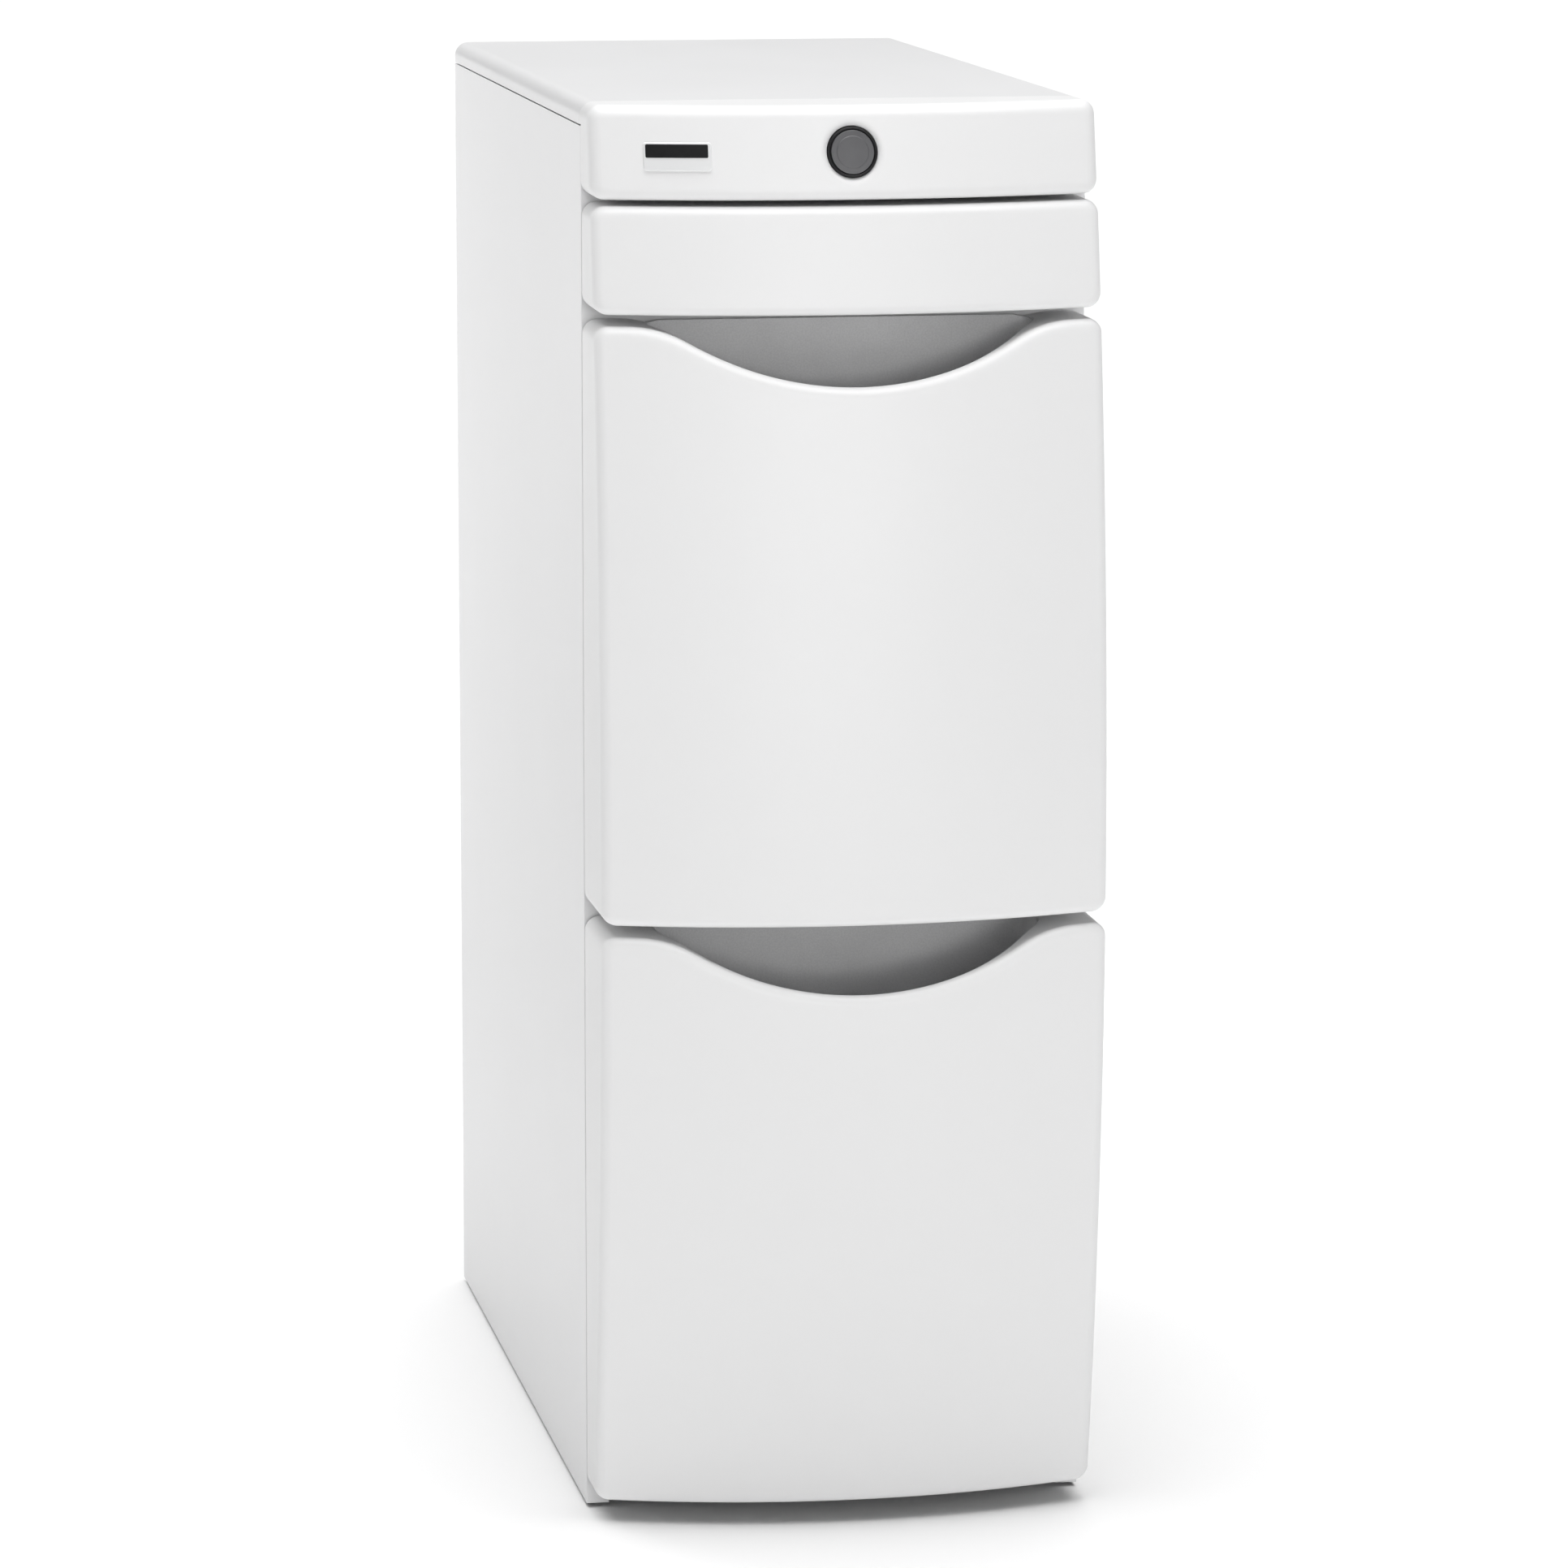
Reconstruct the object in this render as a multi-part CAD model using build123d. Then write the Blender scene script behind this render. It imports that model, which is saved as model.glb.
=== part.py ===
from build123d import *
from math import asin, atan, degrees, sqrt
import os

# Laundry storage tower: a slim steel cabinet with a worktop, a console with a pull-out hanging
# rod, one shallow drawer and two deep drawers with scooped finger pulls.
# Millimetres, +Z up, front towards -Y. The origin is on the floor, at the centre of the box that
# holds the whole object.

# ---------------------------------------------------------------- driving dimensions
WIDTH = 345.0
CABINET_DEPTH = 690.0
BULGE = 120.0  # how far the crowned fronts stand ahead of the cabinet
CABINET_HEIGHT = 965.0
FOOT_GAP = 3.0  # cabinet bottom above the floor
SHEET = 1.2  # folded steel sheet

# The four fronts are cut from one doubly curved surface.
CROWN_R_ACROSS = 495.4
CROWN_R_UPRIGHT = 2224.5
CROWN_HEIGHT = 471.5  # where the crown stands furthest forward
FRONT_GAP = 4.0  # between the rear edges of the fronts and the cabinet
FRONT_WALL = 3.0
CORNER_R = 10.0
EDGE_R = 6.5
CONSOLE_EDGE_R = 8.0
INNER_EDGE_R = 3.0

# Heights of the fronts' lower and upper edges above the floor.
CONSOLE = (905.7, 968.0)
DRAWER_FRONTS = {1: (830.5, 901.9), 2: (423.6, 823.0), 3: (15.4, 415.8)}
SCOOPED = (2, 3)

# Scooped finger pull: a hollow arc between two shoulder arcs.
SCOOP_DEPTH = 40.0
SCOOP_R = 225.0
SHOULDER_R = 76.0
POCKET_HALF = 137.0
POCKET_RIM = 9.0  # thickness of the front edge ahead of the pocket
POCKET_BELOW = 45.0  # pocket floor below the lowest point of the scoop
POCKET_WALL = 2.5
POCKET_FRONT_R = 42.0
POCKET_REAR_R = 8.0
POCKET_COVE_R = 14.0
POCKET_BACK_DROP = 1.0  # top of the pocket's rear wall below the front's top edge

# Steel liner on the back of a front, its screws and its bumpers
LINER = 1.5
LINER_GAP = 1.0  # to the front's inner walls
LINER_TOP_GAP = 1.5
FRONT_SCREW_XS = (-110.0, 110.0)
FRONT_SCREW_FROM_FLOOR = 50.0
FRONT_SCREW_FROM_RIM = 90.0
FRONT_SCREW_R = 2.4
FRONT_SCREW_POINT = 6.0  # shank ahead of the box
PAN_HEAD_R = 4.5
PAN_HEAD_T = 2.2
SCREW_CLEARANCE = 0.2
BUMPER_R = 5.0
BUMPER_INSET = 18.0
BUMPER_GAP = 0.2

# Cabinet
POST_WIDTH = 15.6
POST_DEPTH = 20.0
TOP_R = 10.0
TOP_SKIRT = 15.2
TOP_SHEET = 1.5
TOP_SEAM = 1.0  # dark line between the top panel and the sides
TOP_SETBACK = 5.0  # top panel's front edge behind the cabinet front
UPRIGHT_FRONT = 295.0
BACK_RECESS = 5.0
BACK_SCREW_ZS = (60.0, 340.0, 620.0, 900.0)
BACK_SCREW_FLATS = 8.0
BACK_SCREW_T = 2.4
BASE_HEIGHT = 21.0
BASE_SHEET = 1.5
RAIL_HEIGHT = 18.0
RAIL_BOTTOMS = (895.0, 809.0, 408.0)
BRACKET_GAP = 2.0  # console bracket's top below the side panels' tops

# Feet
FOOT_X = 135.0
FOOT_YS = (-240.0, 365.0)
FOOT_R = 14.0
FOOT_PAD = 8.0
FOOT_CHAMFER = 1.5
STUD_R = 4.0
STUD_CLEARANCE = 0.3
STUD_TOP = 35.0
NUT_FLATS = 13.0
NUT_HEIGHT = 6.5

# Drawer boxes: floor and rim heights above the floor.
BOX_HEIGHTS = {1: (840.0, 888.0), 2: (440.0, 770.0), 3: (42.0, 370.0)}
BOX_BACK = 286.0
BOX_WALL = 1.5
HEM_WIDTH = 4.5
HEM_HEIGHT = 4.0

# Ball-bearing slides, three members a side, 12.7 thick when nested
SLIDE_LENGTH = 600.0
SLIDE_SETBACK = 3.0
SLIDE_T = 12.7
SLIDE_HEIGHTS = {1: 864.0, 2: 520.0, 3: 120.0}
OUTER_HALF = 22.5
OUTER_LIP = 9.7
MIDDLE_HALF = 19.2
MIDDLE_LIP = 7.6
MIDDLE_INSET = 3.3  # web of the middle member from the post
MIDDLE_LEAD = 4.0  # its front end behind the outer member's
MIDDLE_SHORTER = 6.0  # its rear end ahead of the outer member's
INNER_HALF = 15.0
INNER_LIP = 7.2
INNER_LEAD = 1.0
SLIDE_HOLE_R = 2.2
SLIDE_SCREW_R = 2.0
SLIDE_HEAD_R = 3.6
SLIDE_HEAD_T = 1.1

# Hanging rod
ROD_Z = 937.5
ROD_R = 9.5
ROD_WALL = 1.5
ROD_TRAVEL = 350.0
GUIDE_R = 12.0
GUIDE_CLEARANCE = 0.05
GUIDE_BACK = -160.0
GUIDE_LEAD = 2.0  # front end ahead of the cabinet
HANGER_SETBACK = 6.0  # ahead of the guide's rear end
HANGER_HALF = 30.0
HANGER_SHEET = 2.0
HANGER_DROP = 18.0
HANGER_FOOT = 20.0
COLLAR_R = 12.0
COLLAR_LENGTH = 9.0
COLLAR_GAP = 0.5
ROD_OVERHANG = 4.0
KNOB_R = 16.8
KNOB_LIP = 2.2
KNOB_EDGE_R = 1.5
KNOB_DEPTH = 9.0
KNOB_PROUD = 0.8
KNOB_FLOOR = -1.6  # recess floor, behind the console face
KNOB_DISC_R = 14.5
KNOB_DISC_T = 1.6
KNOB_DISC_STEP_R = 10.5
KNOB_DISC_STEP_T = 0.5
HUB_R = 12.0
HUB_SETBACK = 6.0
HUB_LENGTH = 7.0
SPIGOT_LENGTH = 27.0
KNOB_HOLE_R = 17.3
DISH_R = 22.5
DISH_DEPTH = 4.5

# Badge plate on the console: a plain plate with a plain dark field
BADGE_CENTRE = (-115.7, 934.9)
BADGE_SIZE = (44.4, 18.6)
BADGE_CORNER_R = 2.2
BADGE_T = 1.4
FIELD_CENTRE = (-116.2, 938.6)
FIELD_SIZE = (40.6, 8.8)
FIELD_CORNER_R = 1.0
FIELD_T = 0.3

# ---------------------------------------------------------------- derived planes
APEX_Y = -(CABINET_DEPTH + BULGE) / 2
FRONT_Y = APEX_Y + BULGE
BACK_Y = -APEX_Y
FRONT_REAR_Y = FRONT_Y - FRONT_GAP
POCKET_BACK_Y = FRONT_REAR_Y - LINER - POCKET_WALL
TOP_Z = FOOT_GAP + CABINET_HEIGHT
SKIRT_Z = TOP_Z - TOP_SKIRT
SIDE_TOP_Z = SKIRT_Z - TOP_SEAM
HALF = WIDTH / 2
CLEAR_HALF = HALF - POST_WIDTH
PANEL_IN = HALF - SHEET
BOX_HALF = CLEAR_HALF - SLIDE_T
BACK_PANEL_Y = BACK_Y - BACK_RECESS
POST_FRONTS = {
    "front_post": FRONT_Y,
    "slide_upright": UPRIGHT_FRONT,
    "rear_post": BACK_PANEL_Y - POST_DEPTH,
}
SLIDE_FRONT_Y = FRONT_Y + SLIDE_SETBACK
SCOOP_HALF = sqrt((SCOOP_R + SHOULDER_R) ** 2 - (SCOOP_R + SHOULDER_R - SCOOP_DEPTH) ** 2)
SCOOP_LEAN = degrees(asin(SCOOP_HALF / (SCOOP_R + SHOULDER_R)))
OVERRUN = 5.0  # how far a cutting shape runs past what it cuts


# ---------------------------------------------------------------- shape helpers
def prism_y(face, low, high):
    """A face drawn in x and z, carried from y = low to y = high."""
    return Pos(0, high, 0) * extrude(Plane.XZ * face, amount=high - low, dir=(0, -1, 0))


def prism_z(face, low, high):
    """A face drawn in x and y, carried from z = low to z = high."""
    return Pos(0, 0, low) * extrude(face, amount=high - low, dir=(0, 0, 1))


def block(x, y, z):
    """A box between the two limits given on each axis."""
    centre = [(low + high) / 2 for low, high in (x, y, z)]
    return Pos(*centre) * Box(x[1] - x[0], y[1] - y[0], z[1] - z[0])


def tube_y(radius, low, high, x=0.0, z=ROD_Z):
    """A round bar along y."""
    return prism_y(Pos(x, z) * Circle(radius), low, high)


def both_sides(solid):
    """A right-hand solid and its mirror image on the left."""
    return Compound([solid, mirror(solid, about=Plane.YZ)])


def barrel(inset=0.0):
    """Everything behind the crowned front surface, with the surface moved back by inset."""
    across = CROWN_R_ACROSS - inset
    upright = CROWN_R_UPRIGHT - inset
    apex = APEX_Y + inset
    reach = HALF + 2 * OVERRUN
    edge = apex + across - sqrt(across**2 - reach**2)
    back = FRONT_Y + 4 * OVERRUN
    section = make_face(
        [
            ThreePointArc((-reach, edge), (0, apex), (reach, edge)),
            Line((reach, edge), (reach, back)),
            Line((reach, back), (-reach, back)),
            Line((-reach, back), (-reach, edge)),
        ]
    )
    spin = Axis((0, apex + upright, CROWN_HEIGHT), (1, 0, 0))
    swing = 15.0
    half_turn = (Pos(0, 0, CROWN_HEIGHT) * section).rotate(spin, -swing)
    return revolve(half_turn, axis=spin, revolution_arc=2 * swing)


def outline(edges, scooped, inset=0.0):
    """A front's outline in x and z, with every side moved inwards by inset."""
    bottom, top = edges
    half = HALF - inset
    low = bottom + inset
    high = top - inset
    corner = CORNER_R - inset
    if not scooped:
        return Pos(0, (low + high) / 2) * RectangleRounded(2 * half, high - low, corner)
    shoulder_z = top - SHOULDER_R
    hollow_z = top - SCOOP_DEPTH + SCOOP_R
    shoulder = SHOULDER_R - inset
    hollow = SCOOP_R + inset
    return make_face(
        [
            CenterArc((-half + corner, low + corner), corner, 180, 90),
            Line((-half + corner, low), (half - corner, low)),
            CenterArc((half - corner, low + corner), corner, 270, 90),
            Line((half, low + corner), (half, high - corner)),
            CenterArc((half - corner, high - corner), corner, 0, 90),
            Line((half - corner, high), (SCOOP_HALF, high)),
            CenterArc((SCOOP_HALF, shoulder_z), shoulder, 90, SCOOP_LEAN),
            CenterArc((0, hollow_z), hollow, 270 - SCOOP_LEAN, 2 * SCOOP_LEAN),
            CenterArc((-SCOOP_HALF, shoulder_z), shoulder, 90 - SCOOP_LEAN, SCOOP_LEAN),
            Line((-SCOOP_HALF, high), (-half + corner, high)),
            CenterArc((-half + corner, high - corner), corner, 90, 90),
            Line((-half, high - corner), (-half, low + corner)),
        ]
    )


def crowned_block(edges, scooped, inset, rear, edge_r):
    """A solid front with its crowned face rounded over at every edge."""
    face = outline(edges, scooped, inset)
    solid = barrel(inset) & prism_y(face, APEX_Y - OVERRUN, rear)
    crowned = solid.faces().sort_by(Axis.Y)[0]
    return fillet(crowned.edges(), edge_r)


def hex_prism(flats, low, high, x, y):
    """A hexagonal nut body standing on z = low."""
    return prism_z(Pos(x, y) * RegularPolygon(flats / 2, 6, major_radius=False), low, high)


# ---------------------------------------------------------------- cabinet
def side_panel(side):
    x = sorted((side * HALF, side * PANEL_IN))
    return block(x, (FRONT_Y, BACK_Y), (FOOT_GAP, SIDE_TOP_Z))


def post(side, front):
    """A square-tube upright against the inside of a side panel."""
    width = POST_WIDTH - SHEET
    plan = Rectangle(width, POST_DEPTH) - Rectangle(width - 2 * SHEET, POST_DEPTH - 2 * SHEET)
    place = Pos(side * (CLEAR_HALF + width / 2), front + POST_DEPTH / 2)
    return prism_z(place * plan, FOOT_GAP, SIDE_TOP_Z)


def top_panel():
    """A folded pan: flat top, rounded sides, a skirt all round."""
    front = FRONT_Y + TOP_SETBACK

    def section(inset):
        half = HALF - inset
        high = TOP_Z - inset
        radius = TOP_R - inset
        face = Pos(0, (high + SKIRT_Z) / 2) * Rectangle(2 * half, high - SKIRT_Z)
        return fillet(face.vertices().group_by(Axis.Y)[-1], radius)

    outer = prism_y(section(0), front, BACK_Y)
    inner = prism_y(section(TOP_SHEET), front + TOP_SHEET, BACK_Y - TOP_SHEET)
    return outer - inner - Pos(0, 0, -OVERRUN) * inner


def back_panel():
    return block(
        (-PANEL_IN, PANEL_IN),
        (BACK_PANEL_Y, BACK_PANEL_Y + SHEET),
        (BASE_HEIGHT + BASE_SHEET, SIDE_TOP_Z),
    )


def base_pan():
    """A flat floor notched around the uprights and drilled for the foot studs."""
    high = BASE_HEIGHT + BASE_SHEET
    pan = block((-PANEL_IN, PANEL_IN), (FRONT_Y + SHEET, BACK_PANEL_Y + SHEET), (BASE_HEIGHT, high))
    for front in POST_FRONTS.values():
        for side in (-1, 1):
            x = sorted((side * CLEAR_HALF, side * HALF))
            y = (front, front + POST_DEPTH)
            pan -= block(x, y, (BASE_HEIGHT - OVERRUN, high + OVERRUN))
    for x, y in foot_places():
        pan -= Pos(x, y, BASE_HEIGHT) * Cylinder(STUD_R + STUD_CLEARANCE, 4 * OVERRUN)
    return pan


def front_rail(bottom):
    """A channel between the front posts, open to the rear."""
    rear = FRONT_Y + POST_DEPTH
    outer = block((-CLEAR_HALF, CLEAR_HALF), (FRONT_Y, rear), (bottom, bottom + RAIL_HEIGHT))
    hollow = block(
        (-CLEAR_HALF - OVERRUN, CLEAR_HALF + OVERRUN),
        (FRONT_Y + SHEET, rear + OVERRUN),
        (bottom + SHEET, bottom + RAIL_HEIGHT - SHEET),
    )
    return outer - hollow


def foot_places():
    return [(side * FOOT_X, y) for side in (-1, 1) for y in FOOT_YS]


def foot_pads():
    pad = Cylinder(FOOT_R, FOOT_PAD, align=(Align.CENTER, Align.CENTER, Align.MIN))
    pad = chamfer(pad.edges().group_by(Axis.Z)[-1], FOOT_CHAMFER)
    return Compound([Pos(x, y, 0) * pad for x, y in foot_places()])


def foot_studs():
    stud = Cylinder(STUD_R, STUD_TOP - FOOT_PAD, align=(Align.CENTER, Align.CENTER, Align.MIN))
    return Compound([Pos(x, y, FOOT_PAD) * stud for x, y in foot_places()])


def foot_nuts():
    """A lock nut above the base pan on each stud."""
    low = BASE_HEIGHT + BASE_SHEET
    nuts = []
    for x, y in foot_places():
        nut = hex_prism(NUT_FLATS, low, low + NUT_HEIGHT, x, y)
        nuts.append(nut - Pos(x, y, low) * Cylinder(STUD_R, 4 * NUT_HEIGHT))
    return Compound(nuts)


def back_screws():
    """Hexagon-head screws that hold the back panel to the rear posts."""
    head = BACK_PANEL_Y + SHEET
    x = CLEAR_HALF + (POST_WIDTH - SHEET) / 2
    screws = []
    for z in BACK_SCREW_ZS:
        hexagon = RegularPolygon(BACK_SCREW_FLATS / 2, 6, major_radius=False)
        screws += both_sides(prism_y(Pos(x, z) * hexagon, head, head + BACK_SCREW_T)).solids()
    return Compound(screws)


# ---------------------------------------------------------------- console
def face_depth(x, z):
    """The y of the crowned front surface at a place on the front."""
    upright = CROWN_R_UPRIGHT - (CROWN_R_ACROSS - sqrt(CROWN_R_ACROSS**2 - x**2))
    return APEX_Y + CROWN_R_UPRIGHT - sqrt(upright**2 - (z - CROWN_HEIGHT) ** 2)


# The knob slides along y, and its face leans back with the console around it.
KNOB_LEAN = degrees(atan((face_depth(0, ROD_Z + 1) - face_depth(0, ROD_Z - 1)) / 2))
KNOB_FRAME = Pos(0, face_depth(0, ROD_Z), ROD_Z) * Rot(90 - KNOB_LEAN, 0, 0)


def console():
    """The bowed console moulding, with a lip that reaches back to the top panel."""
    rear = FRONT_Y + TOP_SETBACK
    shell = crowned_block(CONSOLE, False, 0, rear, CONSOLE_EDGE_R)
    shell -= crowned_block(CONSOLE, False, FRONT_WALL, rear + OVERRUN, INNER_EDGE_R)
    shell -= block((-WIDTH, WIDTH), (FRONT_Y - TOP_SEAM, rear + OVERRUN), (0, SKIRT_Z + TOP_SEAM / 2))
    start = face_depth(0, ROD_Z)
    shell -= tube_y(KNOB_HOLE_R, start - 2 * OVERRUN, start + 3 * OVERRUN)
    ball_r = (DISH_R**2 + DISH_DEPTH**2) / (2 * DISH_DEPTH)
    return shell - KNOB_FRAME * Pos(0, 0, ball_r - DISH_DEPTH) * Sphere(ball_r)


def console_bracket():
    """A folded plate across the front posts that carries the console and the rod guide."""
    low = RAIL_BOTTOMS[0] + RAIL_HEIGHT
    high = SIDE_TOP_Z - BRACKET_GAP
    web = block((-CLEAR_HALF, CLEAR_HALF), (FRONT_Y, FRONT_Y + SHEET), (low, high))
    shelf = block((-CLEAR_HALF, CLEAR_HALF), (FRONT_Y + SHEET, FRONT_Y + POST_DEPTH), (low, low + SHEET))
    return web + shelf - tube_y(GUIDE_R, FRONT_Y - OVERRUN, FRONT_Y + OVERRUN)


def rod_guide():
    """The plastic sleeve that the hanging rod runs in."""
    sleeve = tube_y(GUIDE_R, FRONT_Y - GUIDE_LEAD, GUIDE_BACK)
    return sleeve - tube_y(ROD_R + GUIDE_CLEARANCE, FRONT_Y - OVERRUN, GUIDE_BACK + OVERRUN)


def rod_hanger():
    """A bracket under the top panel that holds the rear of the rod guide."""
    back = GUIDE_BACK - HANGER_SETBACK
    front = back - HANGER_SHEET
    x = (-HANGER_HALF, HANGER_HALF)
    underside = TOP_Z - TOP_SHEET
    web = block(x, (front, back), (ROD_Z - HANGER_DROP, underside - HANGER_SHEET))
    foot = block(x, (front, back + HANGER_FOOT), (underside - HANGER_SHEET, underside))
    return web + foot - tube_y(GUIDE_R, back - OVERRUN, back + OVERRUN)


def skin_patch(centre, size, radius, below, above):
    """A thin raised plate that follows the crowned surface."""
    face = Pos(*centre) * RectangleRounded(*size, radius)
    prism = prism_y(face, APEX_Y - OVERRUN, FRONT_Y)
    return (barrel(-above) & prism) - barrel(-below)


# ---------------------------------------------------------------- hanging rod
def rod_tube():
    front = face_depth(0, ROD_Z) + HUB_SETBACK + HUB_LENGTH
    back = GUIDE_BACK + ROD_TRAVEL + COLLAR_LENGTH + ROD_OVERHANG
    return tube_y(ROD_R, front, back) - tube_y(ROD_R - ROD_WALL, front - OVERRUN, back + OVERRUN)


def above_knob_plane(height):
    """Everything in front of a plane parallel to the console face, height ahead of it."""
    space = Box(WIDTH, WIDTH, WIDTH, align=(Align.CENTER, Align.CENTER, Align.MIN))
    return KNOB_FRAME * Pos(0, 0, height) * space


def rod_knob():
    """The round pull: a rounded black rim around a recess, and a spigot inside the tube."""
    start = face_depth(0, ROD_Z)
    hub_start = start + HUB_SETBACK
    cup = tube_y(KNOB_R, start - 4 * OVERRUN, start + KNOB_DEPTH) - above_knob_plane(KNOB_PROUD)
    cup = fillet(cup.faces().sort_by(Axis.Y)[0].edges(), KNOB_EDGE_R)
    recess = tube_y(KNOB_R - KNOB_LIP, start - 4 * OVERRUN, start + KNOB_DEPTH)
    cup -= recess & above_knob_plane(KNOB_FLOOR)
    hub = tube_y(HUB_R, hub_start, hub_start + HUB_LENGTH)
    spigot = tube_y(ROD_R - ROD_WALL, hub_start, hub_start + SPIGOT_LENGTH)
    return cup + hub + spigot


def rod_knob_disc():
    """The grey disc in the recess of the pull, with a shallow step."""

    def layer(radius, low, high):
        start = face_depth(0, ROD_Z)
        bar = tube_y(radius, start - 4 * OVERRUN, start + KNOB_DEPTH)
        return (bar & above_knob_plane(low)) - above_knob_plane(high)

    top = KNOB_FLOOR + KNOB_DISC_T
    return layer(KNOB_DISC_R, KNOB_FLOOR, top) + layer(KNOB_DISC_STEP_R, top, top + KNOB_DISC_STEP_T)


def rod_collar():
    """The stop at the rear end of the rod."""
    front = GUIDE_BACK + ROD_TRAVEL + COLLAR_GAP
    back = front + COLLAR_LENGTH
    return tube_y(COLLAR_R, front, back) - tube_y(ROD_R, front - OVERRUN, back + OVERRUN)


# ---------------------------------------------------------------- drawer fronts
def pocket_well(top, grow):
    """The space of a finger pocket, made larger by grow on its buried sides."""
    floor = top - SCOOP_DEPTH - POCKET_BELOW - grow
    half = POCKET_HALF + grow
    back = POCKET_BACK_Y + grow
    column = block((-half, half), (APEX_Y - OVERRUN, back), (floor, top + OVERRUN))
    well = barrel(POCKET_RIM - grow) & column
    upright = well.edges().filter_by(lambda edge: abs((edge @ 1 - edge @ 0).Z) > POCKET_BELOW)
    well = fillet(upright.sort_by(Axis.Y)[:2], POCKET_FRONT_R + grow)
    upright = well.edges().filter_by(lambda edge: abs((edge @ 1 - edge @ 0).Z) > POCKET_BELOW)
    well = fillet(upright.sort_by(Axis.Y)[-2:], POCKET_REAR_R + grow)
    return fillet(well.faces().sort_by(Axis.Z)[0].edges(), POCKET_COVE_R + grow)


def pocket_back(top):
    """The upright rear wall of a finger pocket."""
    half = POCKET_HALF + POCKET_WALL
    z = (top - SCOOP_DEPTH, top - POCKET_BACK_DROP)
    return block((-half, half), (POCKET_BACK_Y, POCKET_BACK_Y + POCKET_WALL), z)


def front_cavity(number):
    scooped = number in SCOOPED
    return crowned_block(DRAWER_FRONTS[number], scooped, FRONT_WALL, FRONT_REAR_Y + OVERRUN, INNER_EDGE_R)


def drawer_front(number):
    """A hollow moulded front, cut through for its pocket where it has one."""
    edges = DRAWER_FRONTS[number]
    scooped = number in SCOOPED
    shell = crowned_block(edges, scooped, 0, FRONT_REAR_Y, EDGE_R) - front_cavity(number)
    if not scooped:
        return shell
    half = POCKET_HALF + POCKET_WALL
    top = edges[1]
    roof = (top - 2 * SCOOP_DEPTH, top + OVERRUN)
    slot = block((-half, half), (POCKET_BACK_Y, FRONT_REAR_Y + OVERRUN), roof)
    return shell - pocket_well(top, 0) - slot


def drawer_pocket(number):
    """The dark moulded tray behind a scooped edge."""
    top = DRAWER_FRONTS[number][1]
    tray = pocket_well(top, POCKET_WALL) - pocket_well(top, 0)
    tray = tray & front_cavity(number)
    return tray + pocket_back(top)


def front_screw_places(number):
    low, high = BOX_HEIGHTS[number]
    rows = [(low + high) / 2]
    if number in SCOOPED:
        rows = [low + FRONT_SCREW_FROM_FLOOR, high - FRONT_SCREW_FROM_RIM]
    return [(x, z) for x in FRONT_SCREW_XS for z in rows]


def drill_front_screws(plate, number):
    """A plate with clearance holes for the front's screws."""
    radius = FRONT_SCREW_R + SCREW_CLEARANCE
    for x, z in front_screw_places(number):
        plate -= tube_y(radius, FRONT_REAR_Y - OVERRUN, FRONT_REAR_Y + OVERRUN, x, z)
    return plate


def drawer_liner(number):
    """The steel plate that closes the back of a front and takes the box."""
    bottom, top = DRAWER_FRONTS[number]
    low = bottom + FRONT_WALL + LINER_GAP
    high = top - FRONT_WALL - LINER_TOP_GAP
    width = WIDTH - 2 * (FRONT_WALL + LINER_GAP)
    face = Pos(0, (low + high) / 2) * RectangleRounded(width, high - low, CORNER_R - FRONT_WALL)
    return drill_front_screws(prism_y(face, FRONT_REAR_Y - LINER, FRONT_REAR_Y), number)


def drawer_bumpers(number):
    """Soft pads on the back of a front that meet the front posts."""
    bottom, top = DRAWER_FRONTS[number]
    x = HALF - POST_WIDTH / 2
    pads = []
    for z in (bottom + BUMPER_INSET, top - BUMPER_INSET):
        pads += both_sides(tube_y(BUMPER_R, FRONT_REAR_Y, FRONT_Y - BUMPER_GAP, x, z)).solids()
    return Compound(pads)


def front_screws(number):
    """Screws from inside the box, through its front wall and the liner."""
    screws = []
    wall = FRONT_REAR_Y + BOX_WALL
    for x, z in front_screw_places(number):
        shank = tube_y(FRONT_SCREW_R, FRONT_REAR_Y - FRONT_SCREW_POINT, wall, x, z)
        screws.append(shank + tube_y(PAN_HEAD_R, wall, wall + PAN_HEAD_T, x, z))
    return Compound(screws)


# ---------------------------------------------------------------- drawer boxes and slides
def drawer_sides(number):
    """The two steel sides of a box, each with a hemmed top edge."""
    low, high = BOX_HEIGHTS[number]
    wall = block((BOX_HALF - BOX_WALL, BOX_HALF), (FRONT_REAR_Y, BOX_BACK), (low, high))
    hem = block((BOX_HALF - HEM_WIDTH, BOX_HALF), (FRONT_REAR_Y, BOX_BACK), (high - HEM_HEIGHT, high))
    return both_sides(wall + hem)


def drawer_tray(number):
    """The bottom of a box, folded up into its front and back walls, which are hemmed too."""
    low, high = BOX_HEIGHTS[number]
    half = BOX_HALF - BOX_WALL
    tray = block((-half, half), (FRONT_REAR_Y, BOX_BACK), (low, high))
    inside_y = (FRONT_REAR_Y + BOX_WALL, BOX_BACK - BOX_WALL)
    rim_y = (FRONT_REAR_Y + HEM_WIDTH, BOX_BACK - HEM_WIDTH)
    tray -= block((-WIDTH, WIDTH), inside_y, (low + BOX_WALL, high - HEM_HEIGHT))
    tray -= block((-WIDTH, WIDTH), rim_y, (low + BOX_WALL, high + OVERRUN))
    for side in (-1, 1):
        x = sorted((side * half, side * (BOX_HALF - HEM_WIDTH)))
        tray -= block(x, (FRONT_REAR_Y - OVERRUN, BOX_BACK + OVERRUN), (high - HEM_HEIGHT, high + OVERRUN))
    return drill_front_screws(tray, number)


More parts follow.
